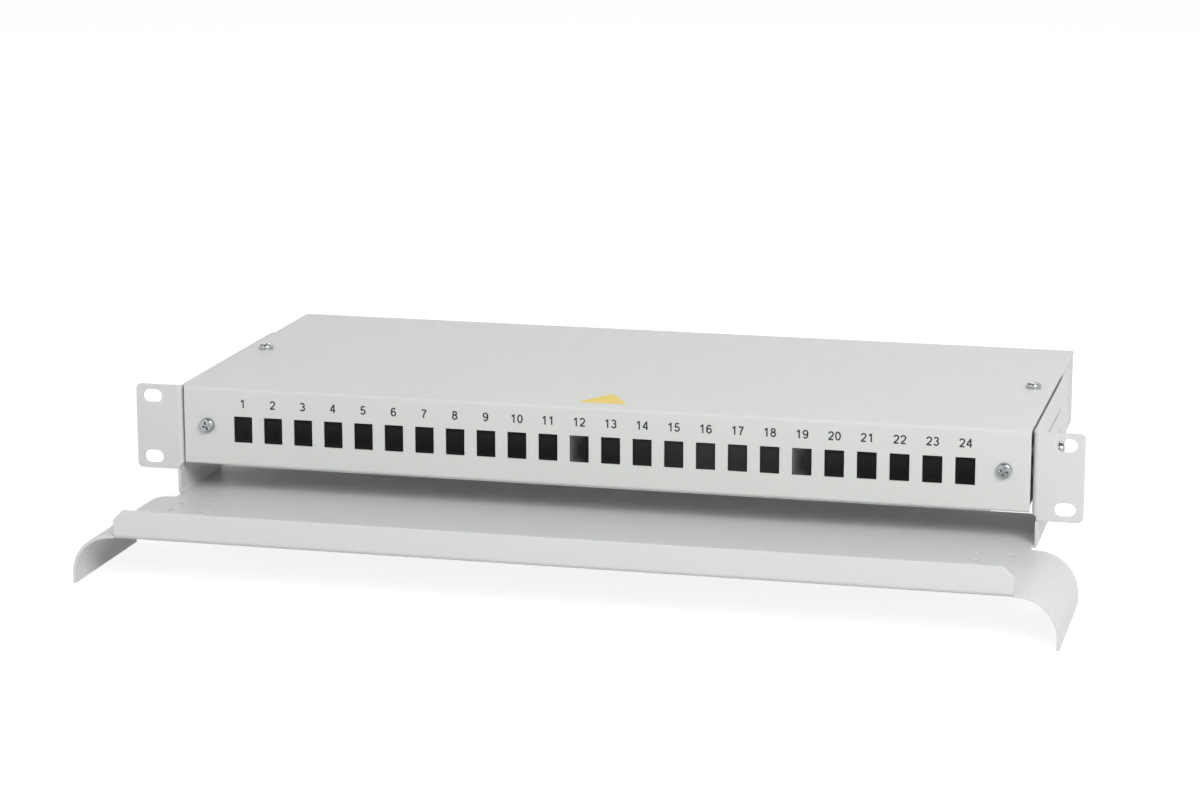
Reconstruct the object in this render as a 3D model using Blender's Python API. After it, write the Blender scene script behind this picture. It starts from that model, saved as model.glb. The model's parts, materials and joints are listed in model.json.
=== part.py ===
"""Fibre patch panel for a 19 inch rack, one unit high, with a sliding splice box and a cord tray.

Frame: X to the right, Y to the rear, Z up. The origin is the middle of the rack opening, in the plane
where the ears meet the rack rails, half way up the ears. All lengths are in metres.
"""
import math

import bmesh
import bpy
from mathutils import Matrix, Vector

MM = 0.001
SEAT_GAP = 0.3 * MM  # air between two pieces that rest on each other
OVERRUN = 1.0 * MM  # how far a cutter runs past the face it leaves
OVERLAP = 0.5 * MM  # how far two shapes that are joined reach into each other
REACH = 5.0 * MM  # how far a cutter runs past a plate's edge
FAR_REACH = 20.0 * MM  # how far a cutter runs past a folded piece

# Rack standard
RACK_WIDTH = 482.6 * MM
EAR_HOLE_FROM_EDGE = 8.75 * MM
RACK_HOLE_SPAN = RACK_WIDTH - 2 * EAR_HOLE_FROM_EDGE
RACK_HOLE_RISE = 31.75 * MM
EAR_HOLE_FROM_END = 6.025 * MM
EAR_HEIGHT = RACK_HOLE_RISE + 2 * EAR_HOLE_FROM_END
EAR_WIDTH = 23.3 * MM
EAR_SLOT_LENGTH = 10.3 * MM
EAR_SLOT_HEIGHT = 6.8 * MM
EAR_CORNER_RADIUS = 2.5 * MM

# Brackets
BRACKET_WIDTH = RACK_WIDTH - 2 * EAR_WIDTH
BRACKET_SHEET = 1.5 * MM
BRACKET_BEND = 1.2 * MM
BRACKET_DEPTH = 142.0 * MM
BRACKET_TOP = 21.8 * MM
BRACKET_FOOT = -18.2 * MM
BRACKET_REAR_FOOT = -14.0 * MM
BRACKET_REAR_LENGTH = 28.0 * MM
GUIDE_SLIT_HEIGHT = 1.8 * MM
GUIDE_SLIT_LEVELS = (9.0 * MM, -1.5 * MM)
GUIDE_TAB_LENGTH = 10.0 * MM
GUIDE_TAB_FROM_REAR = 33.1 * MM
GUIDE_SLIT_FRONT = 12.1 * MM
BRACKET_RELIEF_SIDE = 0.7 * MM
BRACKET_RELIEF_DROP = 1.9 * MM

# Cord tray
TRAY_SHEET = 1.5 * MM
TRAY_BEND = 1.2 * MM
TRAY_FLOOR_TOP = -34.0 * MM
TRAY_LIP_FRONT = 90.5 * MM
TRAY_LIP_TOP = -20.9 * MM
TRAY_LIP_SIDE = 1.2 * MM
TRAY_LIP_CHAMFER = 5.2 * MM
TRAY_FLOOR_REAR = 60.5 * MM
WING_RADIUS = 20.0 * MM
WING_FLAT = 1.2 * MM
WING_STEPS = 12
WING_TAIL = 5.2 * MM
WING_LIP_INSET = 0.5 * MM
WING_REAR = 9.5 * MM
RELIEF_DEPTH = 2.4 * MM
CHEEK_TOP = -1.8 * MM
CHEEK_EAR_GAP = 1.0 * MM
CHEEK_ARM_PAST_SCREW = 7.0 * MM
CHEEK_ARM_HEIGHT = 13.0 * MM
CHEEK_REAR_HEIGHT = 9.0 * MM
CHEEK_CORNER = 2.0 * MM
TRAY_SCREW_LEVEL = -6.4 * MM
TRAY_SCREW_PLACES = (34.0 * MM, 86.0 * MM)
TIE_SLOT_WIDTH = 3.2 * MM
TIE_SLOT_LENGTH = 5.0 * MM
TIE_SLOTS_FROM_SIDE = (23.7 * MM, 8.3 * MM)
TIE_SLOT_ROWS = (21.0 * MM, 35.0 * MM)

# Hood: top cover, front panel and bottom flange in one sheet
HOOD_SHEET = 1.0 * MM
HOOD_BEND = 1.0 * MM
HOOD_SIDE_CLEARANCE = 1.0 * MM
HOOD_DEPTH = 194.5 * MM
HOOD_TOP = 22.3 * MM
HOOD_CORNER_RADIUS = 2.0 * MM
PANEL_FOOT = -18.2 * MM
PANEL_FLANGE_DROP = 0.6 * MM
PANEL_FLANGE_SIDE = 19.0 * MM
PANEL_FLANGE_DEPTH = 12.0 * MM
PIP_FROM_SIDE = 16.8 * MM
PIP_FROM_FRONT = 8.8 * MM
PIP_DIAMETER = 2.4 * MM
PIP_HEIGHT = 0.3 * MM

# Ports and their blanks
PORT_COUNT = 24
PORT_ROW_MARGIN = 23.5 * MM
PORT_WIDTH = 9.7 * MM
PORT_HEIGHT = 13.5 * MM
PORT_LEVEL = 0.6 * MM
BLANK_RECESS = 0.2 * MM
BLANK_DEPTH = 8.0 * MM
BLANK_WALL = 1.0 * MM
BLANK_FLANGE_SIDE = 1.6 * MM
BLANK_FLANGE_THICKNESS = 1.2 * MM
BLANK_EDGE = 0.35 * MM

# Housing
HOUSING_SHEET = 1.0 * MM
HOUSING_BEND = 1.0 * MM
HOOD_OVERHANG = 0.5 * MM
REAR_OVERHANG = 0.5 * MM
TOP_FLANGE_WIDTH = 17.5 * MM
FRONT_FLANGE_WIDTH = 21.5 * MM
REAR_FLANGE_WIDTH = 12.0 * MM

# Fasteners
SCREW_SHANK_DIAMETER = 4.0 * MM
SCREW_CLEARANCE = 0.4 * MM
SCREW_HEAD_DIAMETER = 7.7 * MM
SCREW_HEAD_HEIGHT = 2.4 * MM
SCREW_DRIVE_WIDTH = 1.1 * MM
SCREW_DRIVE_SPAN = 4.4 * MM
SCREW_DRIVE_DEPTH = 1.3 * MM
CLINCH_NUT_DIAMETER = 8.0 * MM
CLINCH_NUT_HEIGHT = 3.0 * MM
SCREW_PAST_NUT = 1.0 * MM
FRONT_SCREW_FROM_SIDE = 12.5 * MM
FRONT_SCREW_LEVEL = 2.2 * MM
TOP_SCREW_FROM_SIDE = 10.3 * MM
TOP_SCREW_FROM_FRONT = 96.8 * MM

# Cable entries
ENTRY_HOLE_DIAMETER = 20.4 * MM
GLAND_FROM_SIDE = 27.0 * MM
PLUG_FROM_SIDE = 59.0 * MM
ENTRY_LEVEL = 1.75 * MM
GLAND_THREAD_DIAMETER = 19.6 * MM
GLAND_BORE_DIAMETER = 13.0 * MM
GLAND_HEX_SPAN = 24.0 * MM
GLAND_HEX_LENGTH = 7.0 * MM
GLAND_INNER_LENGTH = 9.0 * MM
GLAND_OUTER_LENGTH = 8.0 * MM
GLAND_NUT_LENGTH = 4.5 * MM
GLAND_CAP_LENGTH = 16.0 * MM
GLAND_CAP_MOUTH = 13.6 * MM
GLAND_SEAL_BORE = 7.0 * MM
GLAND_SEAL_LIP = 2.0 * MM
GLAND_NECK_STEP = 1.0 * MM
GLAND_CAP_INSET = 1.5 * MM
GLAND_CAP_TAPER = 6.0 * MM
PLUG_HEAD_DIAMETER = 24.0 * MM
PLUG_HEAD_HEIGHT = 2.2 * MM
PLUG_BODY_LENGTH = 7.0 * MM
PLUG_WALL = 1.4 * MM
PLUG_LEAD = 1.5 * MM
EARTH_FROM_SIDE = 90.0 * MM
EARTH_STUD_DIAMETER = 6.0 * MM
EARTH_STUD_LENGTH = 16.0 * MM
EARTH_STUD_HEAD = 12.0 * MM
EARTH_STUD_HEAD_HEIGHT = 2.0 * MM
EARTH_NUT_SPAN = 10.0 * MM
EARTH_NUT_HEIGHT = 5.0 * MM

# Splice cassettes
CASSETTE_LENGTH = 158.0 * MM
CASSETTE_WIDTH = 112.0 * MM
CASSETTE_HEIGHT = 9.0 * MM
CASSETTE_WALL = 1.6 * MM
CASSETTE_FLOOR = 1.4 * MM
CASSETTE_CORNER = 22.0 * MM
CASSETTE_REAR_SPACE = 26.0 * MM
CASSETTE_MOUTH = 14.0 * MM
MANDREL_RADIUS = 26.0 * MM
MANDREL_FROM_END = 34.0 * MM
MANDREL_MOUTH = 18.0 * MM
MANDREL_CLEARANCE = 1.0 * MM
FINGER_LENGTH = 9.0 * MM
FINGER_WIDTH = 8.0 * MM
FINGER_THICKNESS = 1.0 * MM
STUD_FROM_END = 13.0 * MM
STUD_DIAMETER = 4.0 * MM
STUD_COLLAR_DIAMETER = 9.0 * MM
STUD_COLLAR_HEIGHT = 1.0 * MM
STUD_SPARE = 7.0 * MM
LID_THICKNESS = 1.5 * MM
LID_NOTCH_RADIUS = 9.0 * MM
KNURLED_NUT_DIAMETER = 12.0 * MM
KNURLED_NUT_HEIGHT = 5.0 * MM
HOLDER_REACH = 1.0 * MM
HOLDER_DEPTH = 30.0 * MM
HOLDER_BASE = 1.2 * MM
HOLDER_RIB_HEIGHT = 4.2 * MM
HOLDER_RIB_PITCH = 6.4 * MM
HOLDER_CHANNEL = 6.0 * MM
HOLDER_RIB_WIDTH = 1.6 * MM

# Fibre guides and tie anchors
GUIDE_RING_FROM_SIDE = 65.0 * MM
GUIDE_RING_FROM_FRONT = 62.0 * MM
GUIDE_RING_WIDTH = 22.0 * MM
GUIDE_RING_HEIGHT = 16.0 * MM
GUIDE_RING_WALL = 1.8 * MM
GUIDE_RING_MOUTH = 4.0 * MM
GUIDE_RING_LENGTH = 10.0 * MM
GUIDE_RING_CORNER = 4.0 * MM
GUIDE_RING_SLANT = 2.0 * MM
ANCHOR_FROM_REAR = 34.0 * MM
ANCHOR_WIDTH = 26.0 * MM
ANCHOR_SHEET = 1.5 * MM
ANCHOR_RISE = 12.0 * MM
ANCHOR_FOOT = 12.0 * MM
ANCHOR_SHELF = 14.0 * MM
ANCHOR_SLOT_WIDTH = 3.0 * MM
ANCHOR_SLOT_LENGTH = 8.0 * MM
ANCHOR_SLOT_SPACING = 14.0 * MM
RIVET_DIAMETER = 4.0 * MM
RIVET_HEAD_DIAMETER = 7.0 * MM
RIVET_HEAD_HEIGHT = 1.2 * MM

# Places worked out from the sizes above
EAR_FRONT = -BRACKET_SHEET
BRACKET_OUTER = BRACKET_WIDTH / 2
BRACKET_INNER = BRACKET_OUTER - BRACKET_SHEET
BRACKET_REAR = EAR_FRONT + BRACKET_DEPTH
GUIDE_TAB_REAR = BRACKET_REAR - GUIDE_TAB_FROM_REAR
GUIDE_TAB_FRONT = GUIDE_TAB_REAR - GUIDE_TAB_LENGTH
DRAWER_TRAVEL = GUIDE_TAB_FRONT - SEAT_GAP - GUIDE_SLIT_FRONT
PANEL_FRONT = EAR_FRONT
PANEL_BACK = PANEL_FRONT + HOOD_SHEET
HOOD_HALF_WIDTH = BRACKET_INNER - HOOD_SIDE_CLEARANCE
HOOD_REAR = PANEL_FRONT + HOOD_DEPTH
HOOD_UNDERSIDE = HOOD_TOP - HOOD_SHEET
PANEL_FLANGE_HALF = HOOD_HALF_WIDTH - PANEL_FLANGE_SIDE
PIP_PLACE = HOOD_HALF_WIDTH - PIP_FROM_SIDE
PORT_PITCH = 2 * (HOOD_HALF_WIDTH - PORT_ROW_MARGIN) / PORT_COUNT
FRONT_SCREW_PLACE = HOOD_HALF_WIDTH - FRONT_SCREW_FROM_SIDE
TOP_SCREW_PLACE = HOOD_HALF_WIDTH - TOP_SCREW_FROM_SIDE
FLANGE_FOOT = PANEL_FOOT - PANEL_FLANGE_DROP
HOUSING_OUTER = HOOD_HALF_WIDTH - HOOD_OVERHANG
HOUSING_INNER = HOUSING_OUTER - HOUSING_SHEET
HOUSING_FOOT = FLANGE_FOOT + HOOD_SHEET + SEAT_GAP
HOUSING_FLOOR = HOUSING_FOOT + HOUSING_SHEET
HOUSING_TOP = HOOD_UNDERSIDE - SEAT_GAP
HOUSING_FRONT = PANEL_BACK + SEAT_GAP
HOUSING_REAR = HOOD_REAR - REAR_OVERHANG
GLAND_PLACE = HOUSING_OUTER - GLAND_FROM_SIDE
PLUG_PLACE = HOUSING_OUTER - PLUG_FROM_SIDE
EARTH_PLACE = HOUSING_OUTER - EARTH_FROM_SIDE
GUIDE_RING_PLACE = HOUSING_OUTER - GUIDE_RING_FROM_SIDE
CASSETTE_MIDDLE = HOUSING_REAR - CASSETTE_REAR_SPACE - CASSETTE_WIDTH / 2
MANDREL_PLACE = CASSETTE_LENGTH / 2 - MANDREL_FROM_END
STUD_PLACE = CASSETTE_LENGTH / 2 - STUD_FROM_END
HOLDER_WIDTH = 2 * (MANDREL_PLACE - MANDREL_RADIUS + HOLDER_REACH)
HOLDER_RIB_COUNT = 1 + round((HOLDER_WIDTH - HOLDER_RIB_WIDTH) / HOLDER_RIB_PITCH)
CHEEK_INNER = BRACKET_OUTER + SEAT_GAP
CHEEK_OUTER = CHEEK_INNER + TRAY_SHEET
TRAY_UNDERSIDE = TRAY_FLOOR_TOP - TRAY_SHEET
HALF_LIP = BRACKET_OUTER + TRAY_LIP_SIDE
WING_START = CHEEK_OUTER + WING_FLAT
WING_FRONT = TRAY_LIP_FRONT - WING_LIP_INSET
CHEEK_ARM_REAR = TRAY_SCREW_PLACES[1] + CHEEK_ARM_PAST_SCREW
TIE_SLOT_COLUMNS = [BRACKET_OUTER - from_side for from_side in TIE_SLOTS_FROM_SIDE]
LIP_FRONT = EAR_FRONT - TRAY_LIP_FRONT
LIP_BACK = LIP_FRONT + TRAY_SHEET
TRAY_REAR = EAR_FRONT + TRAY_FLOOR_REAR
BORE_RADIUS = SCREW_SHANK_DIAMETER / 2 + SCREW_CLEARANCE

# Finishes: colour, metallic, roughness
GREY_PAINT = ((0.66, 0.68, 0.67, 1.0), 0.0, 0.35)
BLACK_GLOSS = ((0.012, 0.012, 0.013, 1.0), 0.0, 0.12)
BLACK_MATT = ((0.03, 0.03, 0.032, 1.0), 0.0, 0.55)
ZINC = ((0.78, 0.79, 0.80, 1.0), 1.0, 0.3)
CASSETTE_GREY = ((0.55, 0.57, 0.58, 1.0), 0.0, 0.45)
CLEAR_SHEET = ((0.85, 0.88, 0.9, 0.35), 0.0, 0.08)
GLAND_GREY = ((0.45, 0.46, 0.47, 1.0), 0.0, 0.5)
WHITE_NYLON = ((0.82, 0.82, 0.8, 1.0), 0.0, 0.5)


def clear_scene():
    """Removes every object that the scene starts with."""
    for item in list(bpy.data.objects):
        bpy.data.objects.remove(item, do_unlink=True)


def add_object(name, bm):
    """Turns a bmesh into an object with outward faces, shaded smooth up to its sharp edges."""
    bmesh.ops.remove_doubles(bm, verts=bm.verts, dist=1e-7)
    bmesh.ops.recalc_face_normals(bm, faces=bm.faces)
    mesh = bpy.data.meshes.new(name)
    bm.to_mesh(mesh)
    bm.free()
    mesh.shade_smooth()
    mesh.set_sharp_from_angle(angle=math.radians(35))
    item = bpy.data.objects.new(name, mesh)
    bpy.context.scene.collection.objects.link(item)
    return item


def add_carrier(name):
    """An empty at the origin, on the drawer's slide axis, that carries the pieces of one moving body."""
    carrier = bpy.data.objects.new(name, None)
    bpy.context.scene.collection.objects.link(carrier)
    return carrier


def settle(item, carrier):
    """Puts a piece's origin in the middle of its box, and hangs the piece on its carrier."""
    points = [vertex.co for vertex in item.data.vertices]
    low = Vector([min(point[i] for point in points) for i in range(3)])
    high = Vector([max(point[i] for point in points) for i in range(3)])
    middle = (low + high) / 2
    item.data.transform(Matrix.Translation(-middle))
    item.location = middle
    item.parent = carrier


def finish(item, name, look, carrier):
    """Names a finished piece, gives it a Principled material of its own and hangs it on its carrier."""
    colour, metallic, roughness = look
    item.name = name
    item.data.name = name
    material = bpy.data.materials.new(name + "_finish")
    material.use_nodes = True
    shader = material.node_tree.nodes["Principled BSDF"]
    shader.inputs["Base Color"].default_value = colour
    shader.inputs["Metallic"].default_value = metallic
    shader.inputs["Roughness"].default_value = roughness
    shader.inputs["Alpha"].default_value = colour[3]
    material.diffuse_color = colour
    item.data.materials.clear()
    item.data.materials.append(material)
    settle(item, carrier)
    return item


def combine(target, tool, operation):
    """Cuts, adds or intersects a tool shape with a target shape and removes the tool."""
    change = target.modifiers.new("change", "BOOLEAN")
    change.operation = operation
    change.solver = "EXACT"
    change.object = tool
    graph = bpy.context.evaluated_depsgraph_get()
    mesh = bpy.data.meshes.new_from_object(target.evaluated_get(graph))
    target.modifiers.clear()
    target.data = mesh
    target.data.shade_smooth()
    target.data.set_sharp_from_angle(angle=math.radians(35))
    bpy.data.objects.remove(tool, do_unlink=True)
    return target


def cut(target, tool):
    """Takes the tool's shape out of the target."""
    return combine(target, tool, "DIFFERENCE")


def join(target, tool):
    """Joins the tool's shape to the target in one closed body."""
    return combine(target, tool, "UNION")


def place(axis, u, v, w):
    """Gives the point with w along the axis, and u, v along the other two in X, Y, Z order."""
    if axis == "X":
        return (w, u, v)
    if axis == "Y":
        return (u, w, v)
    return (u, v, w)


def prism(outlines, axis, low, high):
    """Extrudes closed outlines along an axis, from low to high, as separate closed bodies."""
    bm = bmesh.new()
    for outline in outlines:
        bottom = [bm.verts.new(place(axis, u, v, low)) for u, v in outline]
        top = [bm.verts.new(place(axis, u, v, high)) for u, v in outline]
        bm.faces.new(bottom)
        bm.faces.new(top)
        for i in range(len(outline)):
            j = (i + 1) % len(outline)
            bm.faces.new((bottom[i], bottom[j], top[j], top[i]))
    return add_object("shape", bm)


def box(x, y, z):
    """A block between the low and high values given for X, Y and Z."""
    return prism([rectangle(x[0], x[1], y[0], y[1])], "Z", z[0], z[1])


def rectangle(u_low, u_high, v_low, v_high):
    """The four corners of a rectangle."""
    return [(u_low, v_low), (u_high, v_low), (u_high, v_high), (u_low, v_high)]


def arc(u, v, radius, start, end, steps):
    """Points along an arc, both ends included, with angles in degrees."""
    angles = [math.radians(start + (end - start) * i / steps) for i in range(steps + 1)]
    return [(u + radius * math.cos(a), v + radius * math.sin(a)) for a in angles]


def circle(u, v, radius, steps=16):
    """A closed round outline."""
    return arc(u, v, radius, 0.0, 360.0 - 360.0 / steps, steps - 1)


def rounded_rectangle(u_low, u_high, v_low, v_high, radius, steps=4):
    """A rectangle whose four corners are arcs."""
    return (
        arc(u_high - radius, v_high - radius, radius, 0, 90, steps)
        + arc(u_low + radius, v_high - radius, radius, 90, 180, steps)
        + arc(u_low + radius, v_low + radius, radius, 180, 270, steps)
        + arc(u_high - radius, v_low + radius, radius, 270, 360, steps)
    )


def stadium(u, v, length, height, steps=8):
    """A slot outline with round ends, its length along u."""
    radius = height / 2
    reach = length / 2 - radius
    return (
        arc(u + reach, v, radius, -90, 90, steps)
        + arc(u - reach, v, radius, 90, 270, steps)
    )


def sheet_section(path, sheet, bend, steps=4):
    """The section of a folded sheet.

    path holds the corner points of the sheet's middle line. Each inner corner becomes an arc whose
    inner face has the bend radius, and the line is then thickened by half the sheet to both sides.
    """
    middle = bend + sheet / 2
    left = []
    right = []

    def add(u, v, nu, nv):
        left.append((u + nu * sheet / 2, v + nv * sheet / 2))
        right.append((u - nu * sheet / 2, v - nv * sheet / 2))

    def direction(a, b):
        du, dv = b[0] - a[0], b[1] - a[1]
        size = math.hypot(du, dv)
        return du / size, dv / size

    first = direction(path[0], path[1])
    add(path[0][0], path[0][1], -first[1], first[0])
    for i in range(1, len(path) - 1):
        before = direction(path[i - 1], path[i])
        after = direction(path[i], path[i + 1])
        turn = before[0] * after[1] - before[1] * after[0]
        side = 1.0 if turn > 0 else -1.0
        angle = math.atan2(turn, before[0] * after[0] + before[1] * after[1])
        setback = middle * math.tan(abs(angle) / 2)
        start = (path[i][0] - before[0] * setback, path[i][1] - before[1] * setback)
        centre = (start[0] - side * before[1] * middle, start[1] + side * before[0] * middle)
        for step in range(steps + 1):
            heading = math.atan2(before[1], before[0]) + angle * step / steps
            nu, nv = -math.sin(heading), math.cos(heading)
            add(centre[0] - side * nu * middle, centre[1] - side * nv * middle, nu, nv)
    last = direction(path[-2], path[-1])
    add(path[-1][0], path[-1][1], -last[1], last[0])
    return left + right[::-1]


def turned(profile, axis, centre, sides=16, start_angle=0.0):
    """Turns a profile of (radius, height) points about an axis through the centre.

    A profile that starts and ends on the axis gives a solid, and a closed one FAR_REACH from it a ring.
    """
    bm = bmesh.new()
    step = 2 * math.pi / sides
    rings = []
    for radius, height in profile:
        if radius < 1e-9:
            rings.append([bm.verts.new(move(axis, centre, 0.0, 0.0, height))])
            continue
        ring = []
        for k in range(sides):
            angle = start_angle + k * step
            spot = move(axis, centre, radius * math.cos(angle), radius * math.sin(angle), height)
            ring.append(bm.verts.new(spot))
        rings.append(ring)
    closed = len(rings[0]) > 1
    pairs = list(zip(rings, rings[1:]))
    if closed:
        pairs.append((rings[-1], rings[0]))
    for lower, upper in pairs:
        for k in range(sides):
            n = (k + 1) % sides
            if len(lower) == 1:
                bm.faces.new((lower[0], upper[k], upper[n]))
            elif len(upper) == 1:
                bm.faces.new((lower[k], lower[n], upper[0]))
            else:
                bm.faces.new((lower[k], lower[n], upper[n], upper[k]))
    return add_object("shape", bm)


def move(axis, centre, u, v, w):
    """A point at u, v, w from the centre, with w along the signed axis such as +X or -Y."""
    sign = -1.0 if axis[0] == "-" else 1.0
    point = place(axis[1], u, v, sign * w)
    return tuple(c + p for c, p in zip(centre, point))


def pan_head_screw(axis, seat, length):
    """A pan head screw with a cross recess: its head stands on the seat, its shank goes the other way."""
    shank = SCREW_SHANK_DIAMETER / 2
    head = SCREW_HEAD_DIAMETER / 2
    crown = 0.55 * head
    rim = 0.45 * SCREW_HEAD_HEIGHT
    profile = [
        (0.0, -length),
        (shank - OVERLAP, -length),
        (shank, -length + OVERLAP),
        (shank, 0.0),
        (head, 0.0),
        (head, rim),
        (0.86 * head, 0.82 * SCREW_HEAD_HEIGHT),
        (crown, SCREW_HEAD_HEIGHT),
        (0.0, SCREW_HEAD_HEIGHT),
    ]
    screw = turned(profile, axis, seat)
    arm = SCREW_DRIVE_SPAN / 2
    half = SCREW_DRIVE_WIDTH / 2
    sign = -1.0 if axis[0] == "-" else 1.0
    order = {"X": (1, 2, 0), "Y": (0, 2, 1), "Z": (0, 1, 2)}
    u, v, w = [seat[i] for i in order[axis[1]]]
    cross = [
        (arm, -half), (arm, half), (half, half), (half, arm), (-half, arm), (-half, half),
        (-arm, half), (-arm, -half), (-half, -half), (-half, -arm), (half, -arm), (half, -half),
    ]
    low = w + sign * (SCREW_HEAD_HEIGHT - SCREW_DRIVE_DEPTH)
    high = w + sign * (SCREW_HEAD_HEIGHT + OVERRUN)
    drive = prism([[(u + p, v + q) for p, q in cross]], axis[1], min(low, high), max(low, high))
    return cut(screw, drive)


def ring(axis, seat, outer, inner, height, sides=16):
    """A turned ring that stands on the seat."""
    profile = [(inner, 0.0), (outer, 0.0), (outer, height), (inner, height)]
    return turned(profile, axis, seat, sides)


def hex_nut(axis, seat, span, bore, height):
    """A hexagon nut with a round bore."""
    radius = span / 2 / math.cos(math.pi / 6)
    nut = turned([(0.0, 0.0), (radius, 0.0), (radius, height), (0.0, height)], axis, seat, 6, math.pi / 6)
    low = move(axis, seat, 0.0, 0.0, -OVERRUN)
    through = height + 2 * OVERRUN
    return cut(nut, turned([(0.0, 0.0), (bore, 0.0), (bore, through), (0.0, through)], axis, low))


def build_bracket(side):
    """A rack bracket: slotted ear, bend and side plate with two guide slits and the tray's screw holes."""
    middle_x = side * (BRACKET_OUTER - BRACKET_SHEET / 2)
    middle_y = EAR_FRONT + BRACKET_SHEET / 2
    path = [(middle_x, BRACKET_REAR), (middle_x, middle_y), (side * RACK_WIDTH / 2, middle_y)]
    section = sheet_section(path, BRACKET_SHEET, BRACKET_BEND)
    bracket = prism([section], "Z", -EAR_HEIGHT / 2, BRACKET_TOP)

    # the ear's two outer corners are rounded
    reach = RACK_WIDTH / 2
    inner = BRACKET_INNER - REACH
    ear = rounded_rectangle(inner, reach, -EAR_HEIGHT / 2, EAR_HEIGHT / 2, EAR_CORNER_RADIUS)
    ear = [(side * u, v) for u, v in ear]
    keep = prism([ear], "Y", EAR_FRONT - OVERRUN, BRACKET_SHEET)
    rear_part = rectangle(side * inner, side * (BRACKET_OUTER + OVERRUN), -EAR_HEIGHT, EAR_HEIGHT)
    keep = join(keep, prism([rear_part], "Y", BRACKET_SHEET - OVERLAP, BRACKET_REAR + OVERRUN))
    bracket = combine(bracket, keep, "INTERSECT")

    # rack slots
    slots = [
        stadium(side * RACK_HOLE_SPAN / 2, level * RACK_HOLE_RISE / 2, EAR_SLOT_LENGTH, EAR_SLOT_HEIGHT)
        for level in (-1, 1)
    ]
    bracket = cut(bracket, prism(slots, "Y", EAR_FRONT - OVERRUN, OVERRUN))

    # the side plate's foot is higher than the ear's, with a slanted relief beside the bend
    ear_foot = -EAR_HEIGHT / 2
    relief = BRACKET_OUTER + BRACKET_RELIEF_SIDE
    foot = [
        (side * (BRACKET_INNER - REACH), ear_foot - REACH),
        (side * relief, ear_foot - REACH),
        (side * relief, BRACKET_FOOT - BRACKET_RELIEF_DROP),
        (side * BRACKET_INNER, BRACKET_FOOT),
        (side * (BRACKET_INNER - REACH), BRACKET_FOOT),
    ]
    bracket = cut(bracket, prism([foot], "Y", EAR_FRONT - OVERRUN, BRACKET_REAR + OVERRUN))
    rear_start = BRACKET_REAR - BRACKET_REAR_LENGTH
    step = BRACKET_REAR_FOOT - BRACKET_FOOT
    rear_foot = [
        (rear_start, BRACKET_FOOT - REACH),
        (rear_start, BRACKET_FOOT),
        (rear_start + step, BRACKET_REAR_FOOT),
        (BRACKET_REAR + REACH, BRACKET_REAR_FOOT),
        (BRACKET_REAR + REACH, BRACKET_FOOT - REACH),
    ]
    across = sorted((side * (BRACKET_INNER - REACH), side * (BRACKET_OUTER + REACH)))
    bracket = cut(bracket, prism([rear_foot], "X", across[0], across[1]))

    # guide slits and screw holes
    slit_high = GUIDE_TAB_REAR + SEAT_GAP
    openings = [
        rectangle(GUIDE_SLIT_FRONT, slit_high, level - GUIDE_SLIT_HEIGHT / 2, level + GUIDE_SLIT_HEIGHT / 2)
        for level in GUIDE_SLIT_LEVELS
    ]
    openings += [circle(y, TRAY_SCREW_LEVEL, BORE_RADIUS) for y in TRAY_SCREW_PLACES]
    bracket = cut(bracket, prism(openings, "X", across[0], across[1]))
    return bracket


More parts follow.
